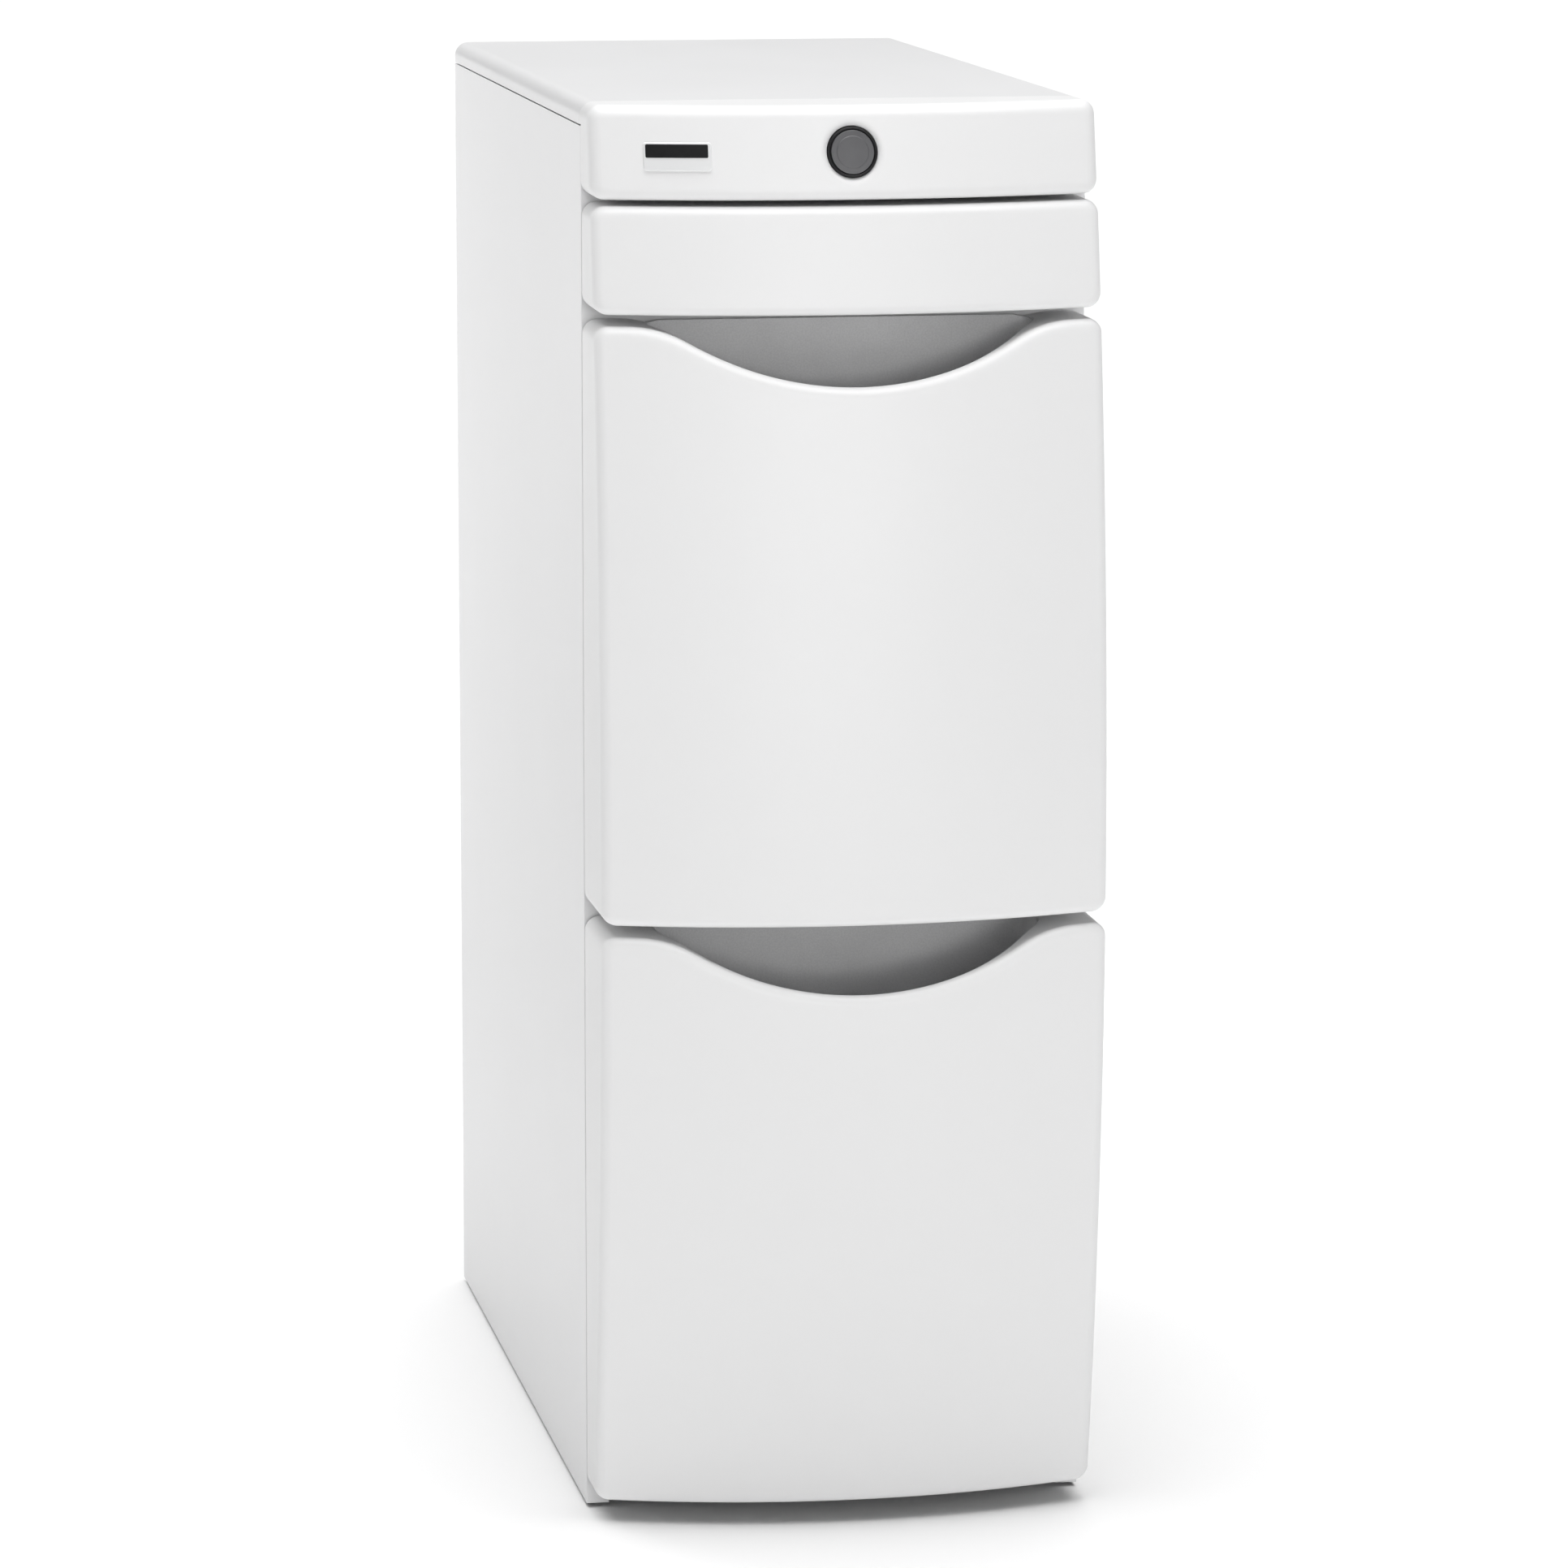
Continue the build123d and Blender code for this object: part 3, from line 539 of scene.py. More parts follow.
# ---- crowned fronts
class Outline:
    """A front's outline in x and z: rounded corners and, on the deep drawers, a scoop."""

    def __init__(self, x, z, corner, scooped=False):
        self.centre = (x[0] + x[1]) / 2
        self.half = (x[1] - x[0]) / 2
        self.z = z
        self.corner = corner
        self.scooped = scooped

    def columns(self, inset, spacing, fine=()):
        """x of the grid's columns at an inset, close together round the corners."""
        radius = self.corner - inset
        start = self.half - self.corner
        steps = 8
        edge = [start + radius * cos(pi / 2 * k / steps) for k in range(steps + 1)]
        count = max(2, round(2 * start / spacing))
        middle = [-start + 2 * start * k / count for k in range(1, count)]
        places = [-x for x in edge] + middle + edge[::-1]
        for low, high, step in fine:
            places += [low + step * k for k in range(int((high - low) / step) + 1)]
        places = sorted(places)
        kept = places[:1]
        for x in places[1:]:
            if x - kept[-1] > 0.02 * MM:
                kept.append(x)
        return [self.centre + x for x in kept]

    def edge(self, x, inset, upper):
        """(z, outward normal) of the lower or upper edge at x."""
        across = x - self.centre
        corner_x = self.half - self.corner
        level = self.z[1] - self.corner if upper else self.z[0] + self.corner
        radius = self.corner - inset
        sign = 1 if upper else -1
        if abs(across) >= corner_x:
            over = min(radius, abs(across) - corner_x)
            rise = sqrt(max(0.0, radius**2 - over**2))
            side = 1 if across > 0 else -1
            return level + sign * rise, (side * over / radius, sign * rise / radius)
        if upper and self.scooped and abs(across) < SCOOP_HALF:
            return self.scoop(across, inset)
        return level + sign * radius, (0.0, float(sign))

    def scoop(self, x, inset):
        """(z, outward normal) of the scooped part of the upper edge."""
        top = self.z[1]
        hollow = SCOOP_R + inset
        if abs(x) < SCOOP_HALF * hollow / (SCOOP_R + SHOULDER_R):
            drop = sqrt(hollow**2 - x**2)
            return top - SCOOP_DEPTH + SCOOP_R - drop, (-x / hollow, drop / hollow)
        shoulder = SHOULDER_R - inset
        centre = SCOOP_HALF if x > 0 else -SCOOP_HALF
        rise = sqrt(shoulder**2 - (x - centre) ** 2)
        return top - SHOULDER_R + rise, ((x - centre) / shoulder, rise / shoulder)


def row_shares(count, height, lead):
    """Shares of the height for the grid's rows, with one close to each end."""
    inner = [lead / height + (1 - 2 * lead / height) * k / count for k in range(count + 1)]
    return [0.0] + inner + [1.0]


def crowned_shell(outline, edge_r, rear, wall, spacing=GRID, dip=None, fine=(), rows=None, proud=0.0):
    """A hollow moulding whose face follows the crowned surface, open to the rear.

    rear(x, z) gives the back edge, and wall is None for a solid plate. dip(x, z) moves the face back
    and proud moves it forward. fine and rows refine the mesh."""
    columns = outline.columns(edge_r, spacing, fine)
    height = outline.z[1] - outline.z[0]
    shares = rows or row_shares(max(3, round(height / spacing)), height, ROW_LEAD)
    edges = [[outline.edge(x, edge_r, upper) for x in columns] for upper in (False, True)]

    def face(x, z, inset=0.0):
        return face_y(x, z, inset) - proud + (dip(x, z) if dip and not inset else 0.0)

    def grid(inset):
        """The face's points, column by column."""
        made = []
        for index, x in enumerate(columns):
            low, high = edges[0][index][0], edges[1][index][0]
            made.append([(x, face(x, low + (high - low) * v, inset), low + (high - low) * v) for v in shares])
        return made

    last = len(columns) - 1
    top = len(shares) - 1
    walk = [(i, 0, edges[0][i][1]) for i in range(last + 1)]
    walk += [(last, j, (1.0, 0.0)) for j in range(1, top)]
    walk += [(i, top, edges[1][i][1]) for i in range(last, -1, -1)]
    walk += [(0, j, (-1.0, 0.0)) for j in range(top - 1, 0, -1)]

    front = grid(0.0)
    base = [front[i][j] for i, j, _ in walk]
    normals = [normal for _, _, normal in walk]

    def ring(inset, depth):
        """A loop round the wall, at an inset from its outer surface."""
        made = []
        for (x, _, z), (nx, nz) in zip(base, normals):
            px, pz = x + nx * (edge_r - inset), z + nz * (edge_r - inset)
            made.append((px, depth(px, pz), pz))
        return made

    rings = [base]
    for step in range(1, EDGE_STEPS + 1):
        angle = pi / 2 * step / EDGE_STEPS
        rings.append(ring(edge_r * (1 - sin(angle)), lambda x, z: face(x, z) + edge_r * (1 - cos(angle))))
    lip = min(LIP, edge_r / 3)
    rings.append(ring(0.0, lambda x, z: min(face(x, z) + edge_r + ROW_LEAD, rear(x, z) - lip)))
    rings.append(ring(0.0, lambda x, z: rear(x, z) - lip))
    rings.append(ring(lip * 0.3, lambda x, z: rear(x, z) - lip * 0.3))
    rings.append(ring(lip, rear))
    if wall:
        rings.append(ring(wall, rear))
        rings.append(ring(wall, lambda x, z: face_y(x, z, wall) + edge_r - wall))
        back = grid(wall)
    else:
        back = [[(x, rear(x, z), z) for x, _, z in column] for column in front]
    rings.append([back[i][j] for i, j, _ in walk])

    vertices = []
    faces = []
    count = top + 1
    for columns_of_points in (front, back):
        start = len(vertices)
        for column in columns_of_points:
            vertices.extend(column)
        for i in range(last):
            for j in range(top):
                a = start + i * count + j
                faces.append([a, a + count, a + count + 1, a + 1])
    start = len(vertices)
    skin, skin_faces = loft(rings, close_ends=False)
    vertices.extend(skin)
    faces.extend([[start + k for k in f] for f in skin_faces])
    return vertices, faces


def pocket_ring(z_of, grow, inset=0.0):
    """One loop of a finger pocket's wall; z_of(x, back_share) gives each point's height."""
    half = POCKET_HALF + grow - inset
    front_r = POCKET_FRONT_R + grow
    rear_r = POCKET_REAR_R + grow
    back = POCKET_BACK_Y + grow - inset
    ring = []
    for step in range(FRONT_STEPS + 1):
        x = -half * cos(pi * step / FRONT_STEPS)
        over = max(0.0, abs(x) - (half - POCKET_FRONT_SPAN)) / POCKET_FRONT_SPAN
        lift = front_r * (1.0 - sqrt(max(0.0, 1.0 - over**2)))
        z = z_of(x, 0.0)
        ring.append((x, face_y(x, z) + POCKET_RIM - grow + inset + lift, z))
    side_start = ring[-1][1]
    side_run = back - rear_r - side_start
    side_shares = [step / SIDE_STEPS for step in range(1, SIDE_STEPS)]
    corner_shares = [step / CORNER_STEPS for step in range(CORNER_STEPS + 1)]
    ring += [(half, side_start + side_run * share, z_of(half, 0.0)) for share in side_shares]
    for share in corner_shares:
        angle = pi / 2 * share
        x = half - rear_r + rear_r * cos(angle)
        ring.append((x, back - rear_r + rear_r * sin(angle), z_of(x, share)))
    for step in range(1, BACK_STEPS):
        x = (half - rear_r) * (1 - 2 * step / BACK_STEPS)
        ring.append((x, back, z_of(x, 1.0)))
    for share in corner_shares:
        angle = pi / 2 * (1 + share)
        x = -half + rear_r + rear_r * cos(angle)
        ring.append((x, back - rear_r + rear_r * sin(angle), z_of(x, 1.0 - share)))
    ring += [(-half, side_start + side_run * (1 - share), z_of(half, 0.0)) for share in side_shares]
    return ring


def pocket_well_rings(outline, grow, top_of):
    """Loops from a pocket's rim down its walls and round the cove to the floor."""
    top = outline.z[1]
    cove = POCKET_COVE_R + grow
    floor = top - SCOOP_DEPTH - POCKET_BELOW - grow
    rings = []
    for level in range(WELL_LEVELS + 1):
        share = level / WELL_LEVELS

        def height(x, back_share, share=share):
            high = top_of(x, back_share)
            return high + (floor + cove - high) * share

        rings.append(pocket_ring(height, grow))
    for step in range(1, CORNER_STEPS + 1):
        angle = pi / 2 * step / CORNER_STEPS
        level = floor + cove * (1 - sin(angle))
        rings.append(pocket_ring(lambda x, back_share: level, grow, cove * (1 - cos(angle))))
    return rings


def finger_pocket(number, outline):
    """The grey moulded tray behind a scooped edge."""
    top = outline.z[1]

    def rim(lower):
        """The rim's height: along the scoop in front, rising to the full height at the back."""

        def height(x, back_share):
            edge = outline.edge(max(-POCKET_HALF, min(POCKET_HALF, x)), RIM_INSET, True)[0]
            return edge + (top - POCKET_BACK_DROP - edge) * back_share - lower

        return height

    inner = pocket_well_rings(outline, 0.0, rim(0.9 * MM))
    outer = pocket_well_rings(outline, POCKET_WALL, rim(0.4 * MM))
    rounding = ((0.0, 1.9 * MM), (0.0, 0.9 * MM), (0.25 * MM, 0.25 * MM))
    rings = outer[::-1] + [pocket_ring(rim(lower), grow) for lower, grow in rounding] + inner
    name = f"drawer{number}_finger_pocket"
    return piece(name, "pocket_plastic", f"drawer{number}", [loft(rings)], [f"drawer{number}_pocket"])


def pocket_cutter(outline):
    """The pocket's opening through the scooped edge, from below the rim to above the front."""
    above = outline.z[1] + 10 * MM
    below = outline.z[1] - SCOOP_DEPTH - 12 * MM
    grow = POCKET_WALL + POCKET_FIT
    return loft([pocket_ring(lambda x, back_share: level, grow) for level in (below, above)])


def block(low, high):
    """A plain cutting block."""
    section = [(low[0], low[1]), (high[0], low[1]), (high[0], high[1]), (low[0], high[1])]
    return prism(section, 2, low[2], high[2])


def drawer_front(number):
    """A drawer's crowned front, with its finger pocket where it has one."""
    node = f"drawer{number}_front"
    scooped = number in SCOOPED
    outline = Outline(span(node, 0), span(node, 2), CORNER_R, scooped)
    rear = span(node, 1)[1]
    parts = crowned_shell(outline, EDGE_R, lambda x, z: rear, WALL)
    front = piece(f"drawer{number}_crowned_front", "front_moulding", f"drawer{number}", [parts], [node])
    if scooped:
        cut(front, pocket_cutter(outline))
        top = outline.z[1]
        reach = POCKET_HALF - POCKET_REAR_R
        low = (-reach, POCKET_BACK_Y, top - 2 * SCOOP_DEPTH)
        cut(front, block(low, (reach, rear + CUT_CLEAR, top + CUT_CLEAR)))
        finger_pocket(number, outline)


# ---- console
def knob_dip(x, z):
    """The rolled edge of the console round the pull."""
    away = sqrt(x**2 + (z - ROD_Z) ** 2)
    share = min(1.0, max(0.0, (DISH_R - away) / (DISH_R - KNOB_HOLE_R)))
    return DISH_DEPTH * share**2


def console_shell():
    """The bowed console, bored for the pull and cut away under the worktop."""
    node = "console"
    outline = Outline(span(node, 0), span(node, 2), CORNER_R)
    rear = span(node, 1)[1]
    parts = crowned_shell(
        outline,
        CONSOLE_EDGE_R,
        lambda x, z: rear,
        WALL,
        dip=knob_dip,
        fine=[(-FINE_HALF, FINE_HALF, 1.0 * MM)],
        rows=row_shares(CONSOLE_ROWS, outline.z[1] - outline.z[0], ROW_LEAD),
    )
    shell = piece("console_shell", "front_moulding", "cabinet", [parts], [node])
    bore = [(KNOB_HOLE_R, -12 * MM), (KNOB_HOLE_R, 20 * MM)]
    cut(shell, lathe(bore, (0, KNOB_Y, ROD_Z), steps=ROUND_STEPS))
    skirt = span("top_panel", 2)[0] + SKIRT_GAP
    low = (-2 * HALF, FRONT_Y - 1.0 * MM, SKIRT_LOW_Z)
    cut(shell, block(low, (2 * HALF, rear + CUT_CLEAR, skirt)))


def raised_plate(node, corner, edge_r, proud, thickness):
    """A thin plate that stands proud of the crowned face."""
    outline = Outline(span(node, 0), span(node, 2), corner)
    return crowned_shell(
        outline,
        edge_r,
        lambda x, z: face_y(x, z) - proud + thickness,
        None,
        spacing=1.5 * MM,
        rows=row_shares(8, outline.z[1] - outline.z[0], 0.3 * MM),
        proud=proud,
    )


def badge():
    """A plain silver plate, coloured near-white as a painted reflection, with a plain dark field."""
    plate = raised_plate("badge_plate", 2.2 * MM, 0.7 * MM, proud=1.4 * MM, thickness=1.5 * MM)
    piece("badge_plain_plate", "badge_metal", "cabinet", [plate], ["badge_plate"])
    field = raised_plate("badge_field", 1.0 * MM, 0.15 * MM, proud=1.7 * MM, thickness=0.4 * MM)
    piece("badge_plain_field", "badge_field", "cabinet", [field], ["badge_field"])


# ---- hanging rod
def pull(centre):
    """The rod's round end: a rolled black rim round a grey disc with a shallow step."""
    edge = KNOB_R - KNOB_LIP / 2
    ring = [(0.0, KNOB_DEPTH), (KNOB_R - 1 * MM, KNOB_DEPTH), (KNOB_R, KNOB_DEPTH - 1 * MM)]
    ring.append((KNOB_R, KNOB_ROUND))
    for step in range(1, 16):
        angle = pi * step / 16
        ring.append((edge + KNOB_LIP / 2 * cos(angle), KNOB_ROUND - KNOB_ROUND * sin(angle)))
    ring += [(KNOB_R - KNOB_LIP, KNOB_ROUND), (KNOB_R - KNOB_LIP, KNOB_FLOOR), (0.0, KNOB_FLOOR)]
    rim = lathe(ring, centre, lean=KNOB_SLOPE, steps=ROUND_STEPS)
    piece("rod_pull_rim", "knob_black", "hanging_rod", [rim], ["rod_knob"])
    profile = [(0.0, KNOB_FLOOR), (DISC_R, KNOB_FLOOR), (DISC_R, 0.5 * MM)]
    profile += [(DISC_R - 0.25 * MM, 0.12 * MM), (DISC_R - 0.7 * MM, 0.0)]
    for out, height in ((0.6, -0.05), (0.2, -0.15), (0.0, -0.4), (-0.3, -0.5)):
        profile.append((DISC_STEP_R + out * MM, height * MM))
    profile.append((0.0, -0.62 * MM))
    disc = lathe(profile, centre, lean=KNOB_SLOPE, steps=ROUND_STEPS)
    piece("rod_pull_disc", "knob_grey", "hanging_rod", [disc], ["rod_knob_disc"])


def rod():
    """The pull-out hanging rod with its pull, hub and stop collar, and the guide it runs in."""
    pull((0, KNOB_Y, ROD_Z))
    bore = (0, 0, ROD_Z)
    front, back = span("rod_tube", 1)
    tube = collar_profile(TUBE_BORE_R, TUBE_R, front, back, 0.4 * MM)
    piece("rod_chrome_tube", "rod_chrome", "hanging_rod", [open_loft(tube, bore)], ["rod_tube"])
    start = KNOB_Y + 6 * MM
    hub = [(0.0, start), (COLLAR_R, start), (COLLAR_R, front - 0.6 * MM), (COLLAR_R - 0.6 * MM, front)]
    piece("rod_pull_hub", "knob_black", "hanging_rod", [lathe(hub + [(0.0, front)], bore)])
    collar = collar_profile(TUBE_R, COLLAR_R, *span("rod_collar", 1))
    piece("rod_stop_collar", "guide_plastic", "hanging_rod", [open_loft(collar, bore)], ["rod_collar"])
    sleeve = collar_profile(TUBE_R + GUIDE_FIT, COLLAR_R, *span("rod_guide", 1))
    piece("rod_guide_sleeve", "guide_plastic", "cabinet", [open_loft(sleeve, bore)], ["rod_guide"])


def collar_profile(inner, outer, low, high, chamfer=0.6 * MM):
    """A closed tube wall with chamfered outer edges."""
    return [
        (inner, low),
        (outer - chamfer, low),
        (outer, low + chamfer),
        (outer, high - chamfer),
        (outer - chamfer, high),
        (inner, high),
        (inner, low),
    ]


def open_loft(profile, centre, steps=64):
    """A turned ring whose profile already closes on itself."""
    vertices, faces = lathe(profile, centre, steps=steps)
    return vertices, faces[:-2]


# ---- cabinet
def side_and_post(side):
    """A side panel and the front post, folded from one sheet."""
    name = "left" if side < 0 else "right"
    low, high = span(f"side_panel_{name}", 2)
    outer = HALF - SHEET / 2
    flange = FRONT_Y + SHEET / 2
    inner = POST_IN + SHEET / 2
    depth = span("front_post_left", 1)[1]
    path = [(outer, BACK_Y), (outer, flange), (inner, flange), (inner, depth)]
    path = [(side * x, y) for x, y in path]
    section = sheet_section(path, bend=SIDE_FOLD_R)
    sheet = prism(section, 2, low, high)
    replaced = [f"side_panel_{name}", f"front_post_{name}"]
    piece(f"side_sheet_{name}", "cabinet_enamel", "cabinet", [sheet], replaced)


def square_tube(low, high, wall, corner):
    """An upright square tube, open at both ends."""

    def loop(inset, z):
        x = (low[0] + inset, high[0] - inset)
        y = (low[1] + inset, high[1] - inset)
        return rounded_loop(x, y, corner - inset, z)

    ease = 0.2 * MM
    bottom, top = low[2], high[2]
    rings = [loop(ease, bottom), loop(0.0, bottom + ease), loop(0.0, top - ease), loop(ease, top)]
    rings += [loop(wall, top), loop(wall, bottom), loop(ease, bottom)]
    return loft(rings, close_ends=False)


def uprights():
    """Square-tube uprights at the slides' rear ends and in the rear corners."""
    for kind in ("slide_upright", "rear_post"):
        for name in ("left", "right"):
            node = f"{kind}_{name}"
            tube = square_tube(*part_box(node), SHEET, TUBE_CORNER_R)
            piece(f"{node}_tube", "cabinet_enamel", "cabinet", [tube], [node])


def top_panel():
    """The worktop: a folded pan with rounded sides."""
    node = "top_panel"
    front, back = span(node, 1)
    low, high = span(node, 2)

    def section(inset):
        """The pan's cross section, square below and rounded above."""
        half = HALF - inset
        level = high - inset
        radius = TOP_R - inset
        points = [(-half, low)]
        steps = 14
        for step in range(steps + 1):
            angle = pi / 2 * step / steps
            points.append((-half + radius - radius * cos(angle), level - radius + radius * sin(angle)))
        for step in range(steps + 1):
            angle = pi / 2 * step / steps
            points.append((half - radius + radius * sin(angle), level - radius + radius * cos(angle)))
        points.append((half, low))
        return points

    def ring(points, y):
        return [(x, y, z) for x, z in points]

    hem = 0.5 * MM
    rings = [ring(section(hem), front), ring(section(0.0), front + hem)]
    rings += [ring(section(0.0), back - hem), ring(section(hem), back)]
    pan = piece("worktop_pan", "cabinet_enamel", "cabinet", [loft(rings)], [node])
    inner = [(x, low - CUT_CLEAR if z == low else z) for x, z in section(TOP_SHEET)]
    cut(pan, loft([ring(inner, front + TOP_SHEET), ring(inner, back - TOP_SHEET)]))


def rails():
    """Channels between the front posts."""
    for index in (1, 2, 3):
        node = f"front_rail_{index}"
        (x0, y0, z0), (x1, y1, z1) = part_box(node)
        half = SHEET / 2
        path = [(y1, z0 + half), (y0 + half, z0 + half), (y0 + half, z1 - half), (y1, z1 - half)]
        channel = prism(sheet_section(path), 0, x0, x1)
        piece(f"{node}_channel", "cabinet_enamel", "cabinet", [channel], [node])


def bored_sheet(node, path, thickness, bend):
    """A folded galvanised sheet across its node's width, bored for the rod in its front leaf."""
    (x0, y0, _), (x1, _, _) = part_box(node)
    sheet = prism(sheet_section(path, thickness, bend), 0, x0, x1)
    made = piece(f"{node}_sheet", "galvanised_sheet", "cabinet", [sheet], [node])
    cut(made, lathe([(COLLAR_R, y0 - CUT_CLEAR), (COLLAR_R, y0 + CUT_CLEAR)], (0, 0, ROD_Z)))


def sheet_metal():
    """Galvanised plates: back panel, console bracket and rod hanger."""
    back = rounded_box(*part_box("back_panel"), 0.3 * MM, 2)
    piece("back_sheet", "galvanised_sheet", "cabinet", [back], ["back_panel"])
    (_, y0, z0), (_, y1, z1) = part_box("console_bracket")
    half = SHEET / 2
    path = [(y0 + half, z1), (y0 + half, z0 + half), (y1, z0 + half)]
    bored_sheet("console_bracket", path, SHEET, FOLD_R)
    (_, y0, z0), (_, y1, z1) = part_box("rod_hanger")
    half = HANGER_SHEET / 2
    path = [(y0 + half, z0), (y0 + half, z1 - half), (y1, z1 - half)]
    bored_sheet("rod_hanger", path, HANGER_SHEET, HANGER_FOLD_R)


def hexagonal(apothem):
    """The radius of a hexagon at each angle."""
    return lambda angle: apothem / cos((angle + pi / 6) % (pi / 3) - pi / 6)


def angular_ring(radius_of, centre, axis, along, steps=48):
    """A loop round an axis through centre; radius_of is a radius, or gives one for each angle."""
    others = [k for k in range(3) if k != axis]
    ring = []
    for step in range(steps):
        angle = 2 * pi * step / steps
        radius = radius_of(angle) if callable(radius_of) else radius_of
        point = list(centre)
        point[others[0]] += radius * cos(angle)
        point[others[1]] += radius * sin(angle)
        point[axis] = along
        ring.append(tuple(point))
    return ring


def hex_nut(centre, low, high):
    """A lock nut with its corners turned off at both faces."""
    corners = hexagonal(NUT_APOTHEM)
    turned = 0.5 * MM
    loops = [(STUD_R, low), (NUT_APOTHEM, low), (corners, low + turned), (corners, high - turned)]
    loops += [(NUT_APOTHEM, high), (STUD_R, high), (STUD_R, low)]
    return loft([angular_ring(radius, centre, 2, z) for radius, z in loops], close_ends=False)


def hex_head(centre, low, high):
    """A washer-faced hexagonal screw head standing off the back panel."""
    washer = BACK_SCREW_R * 1.02
    corners = hexagonal(BACK_SCREW_R * 0.86)
    loops = [(washer, low), (washer, low + 0.5 * MM), (corners, low + 0.8 * MM)]
    loops += [(corners, high - 0.3 * MM), (BACK_SCREW_R * 0.82, high)]
    return loft([angular_ring(radius, centre, 1, y) for radius, y in loops])


def feet():
    """Ribbed rubber feet on threaded studs with lock nuts."""
    pads = []
    studs = []
    nuts = []
    pad_top = span("foot_pads", 2)[1]
    stud_top = span("foot_studs", 2)[1]
    ribs = [(0.0, 0.0), (12.6, 0.0), (13.6, 0.5), (14.0, 1.4), (14.0, 3.4), (13.3, 3.8), (13.3, 4.4)]
    ribs += [(14.0, 4.8), (14.0, 6.6), (12.6, 7.8)]
    pad = [(r * MM, z * MM) for r, z in ribs] + [(11.8 * MM, pad_top), (0.0, pad_top)]
    stud = [(0.0, pad_top), (STUD_R, pad_top)]
    for turn in range(int((stud_top - pad_top) / STUD_PITCH) - 1):
        z = pad_top + STUD_PITCH * turn
        stud += [(STUD_R, z + 0.2 * STUD_PITCH), (STUD_ROOT_R, z + 0.7 * STUD_PITCH)]
    stud += [(3.4 * MM, stud_top - 0.6 * MM), (2.8 * MM, stud_top), (0.0, stud_top)]
    for x, y in FOOT_PLACES:
        pads.append(lathe(pad, (x, y, 0), axis=2, steps=48))
        studs.append(lathe(stud, (x, y, 0), axis=2, steps=24))
        nuts.append(hex_nut((x, y, 0), *span("foot_nuts", 2)))
    piece("feet_pads_ribbed", "foot_rubber", "cabinet", pads, ["foot_pads"])
    piece("feet_studs_threaded", "fastener_steel", "cabinet", studs, ["foot_studs"])
    piece("feet_lock_nuts", "fastener_steel", "cabinet", nuts, ["foot_nuts"])


def base_pan():
    """The cabinet floor keeps its drilled and notched CAD shape."""
    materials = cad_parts["base_pan"].data.materials
    materials.clear()
    materials.append(MATERIALS["galvanised_sheet"])


def dome_screw(place, radius, height, axis, sign):
    """A low round screw head with a small dimple for the driver; sign gives its way along the axis."""
    profile = [(0.0, 0.0), (radius, 0.0), (radius, height * 0.35), (radius * 0.93, height * 0.75)]
    profile += [(radius * 0.7, height), (radius * 0.34, height), (radius * 0.22, height * 0.45)]
    profile.append((0.0, height * 0.4))
    return lathe([(r, sign * h) for r, h in profile], place, axis=axis, steps=24)


def screws():
    """Fasteners of the back panel and of the outer slide members."""
    low, high = span("back_panel_screws", 1)
    x = POST_IN + BACK_SCREW_IN
    heads = [hex_head((side * x, 0, z), low, high) for z in BACK_SCREW_LEVELS for side in SIDES]
    piece("back_panel_hex_screws", "fastener_steel", "cabinet", heads, ["back_panel_screws"])
    heads = []
    for number in DRAWERS:
        z = sum(span(f"drawer{number}_slide_outer", 2)) / 2
        for y in (FRONT_Y + SLIDE_SCREW_IN, span("slide_upright_left", 1)[0] + SLIDE_SCREW_IN):
            for side in SIDES:
                place = (side * (POST_IN - SHEET), y, z)
                heads.append(dome_screw(place, SLIDE_SCREW_R, SLIDE_SCREW_HEAD, 0, -side))
    piece("slide_pan_screws", "fastener_steel", "cabinet", heads, ["slide_screws"])


# ---- drawer boxes
def rounded_loop(x, y, radius, z, steps=6):
    """A loop round a rectangle with rounded corners."""
    loop = []
    corners = [(x[1], y[1], 0), (x[0], y[1], 1), (x[0], y[0], 2), (x[1], y[0], 3)]
    for cx, cy, quarter in corners:
        mx = cx - radius if cx == x[1] else cx + radius
        my = cy - radius if cy == y[1] else cy + radius
        for step in range(steps + 1):
            angle = pi / 2 * (quarter + step / steps)
            loop.append((mx + radius * cos(angle), my + radius * sin(angle), z))
    return loop


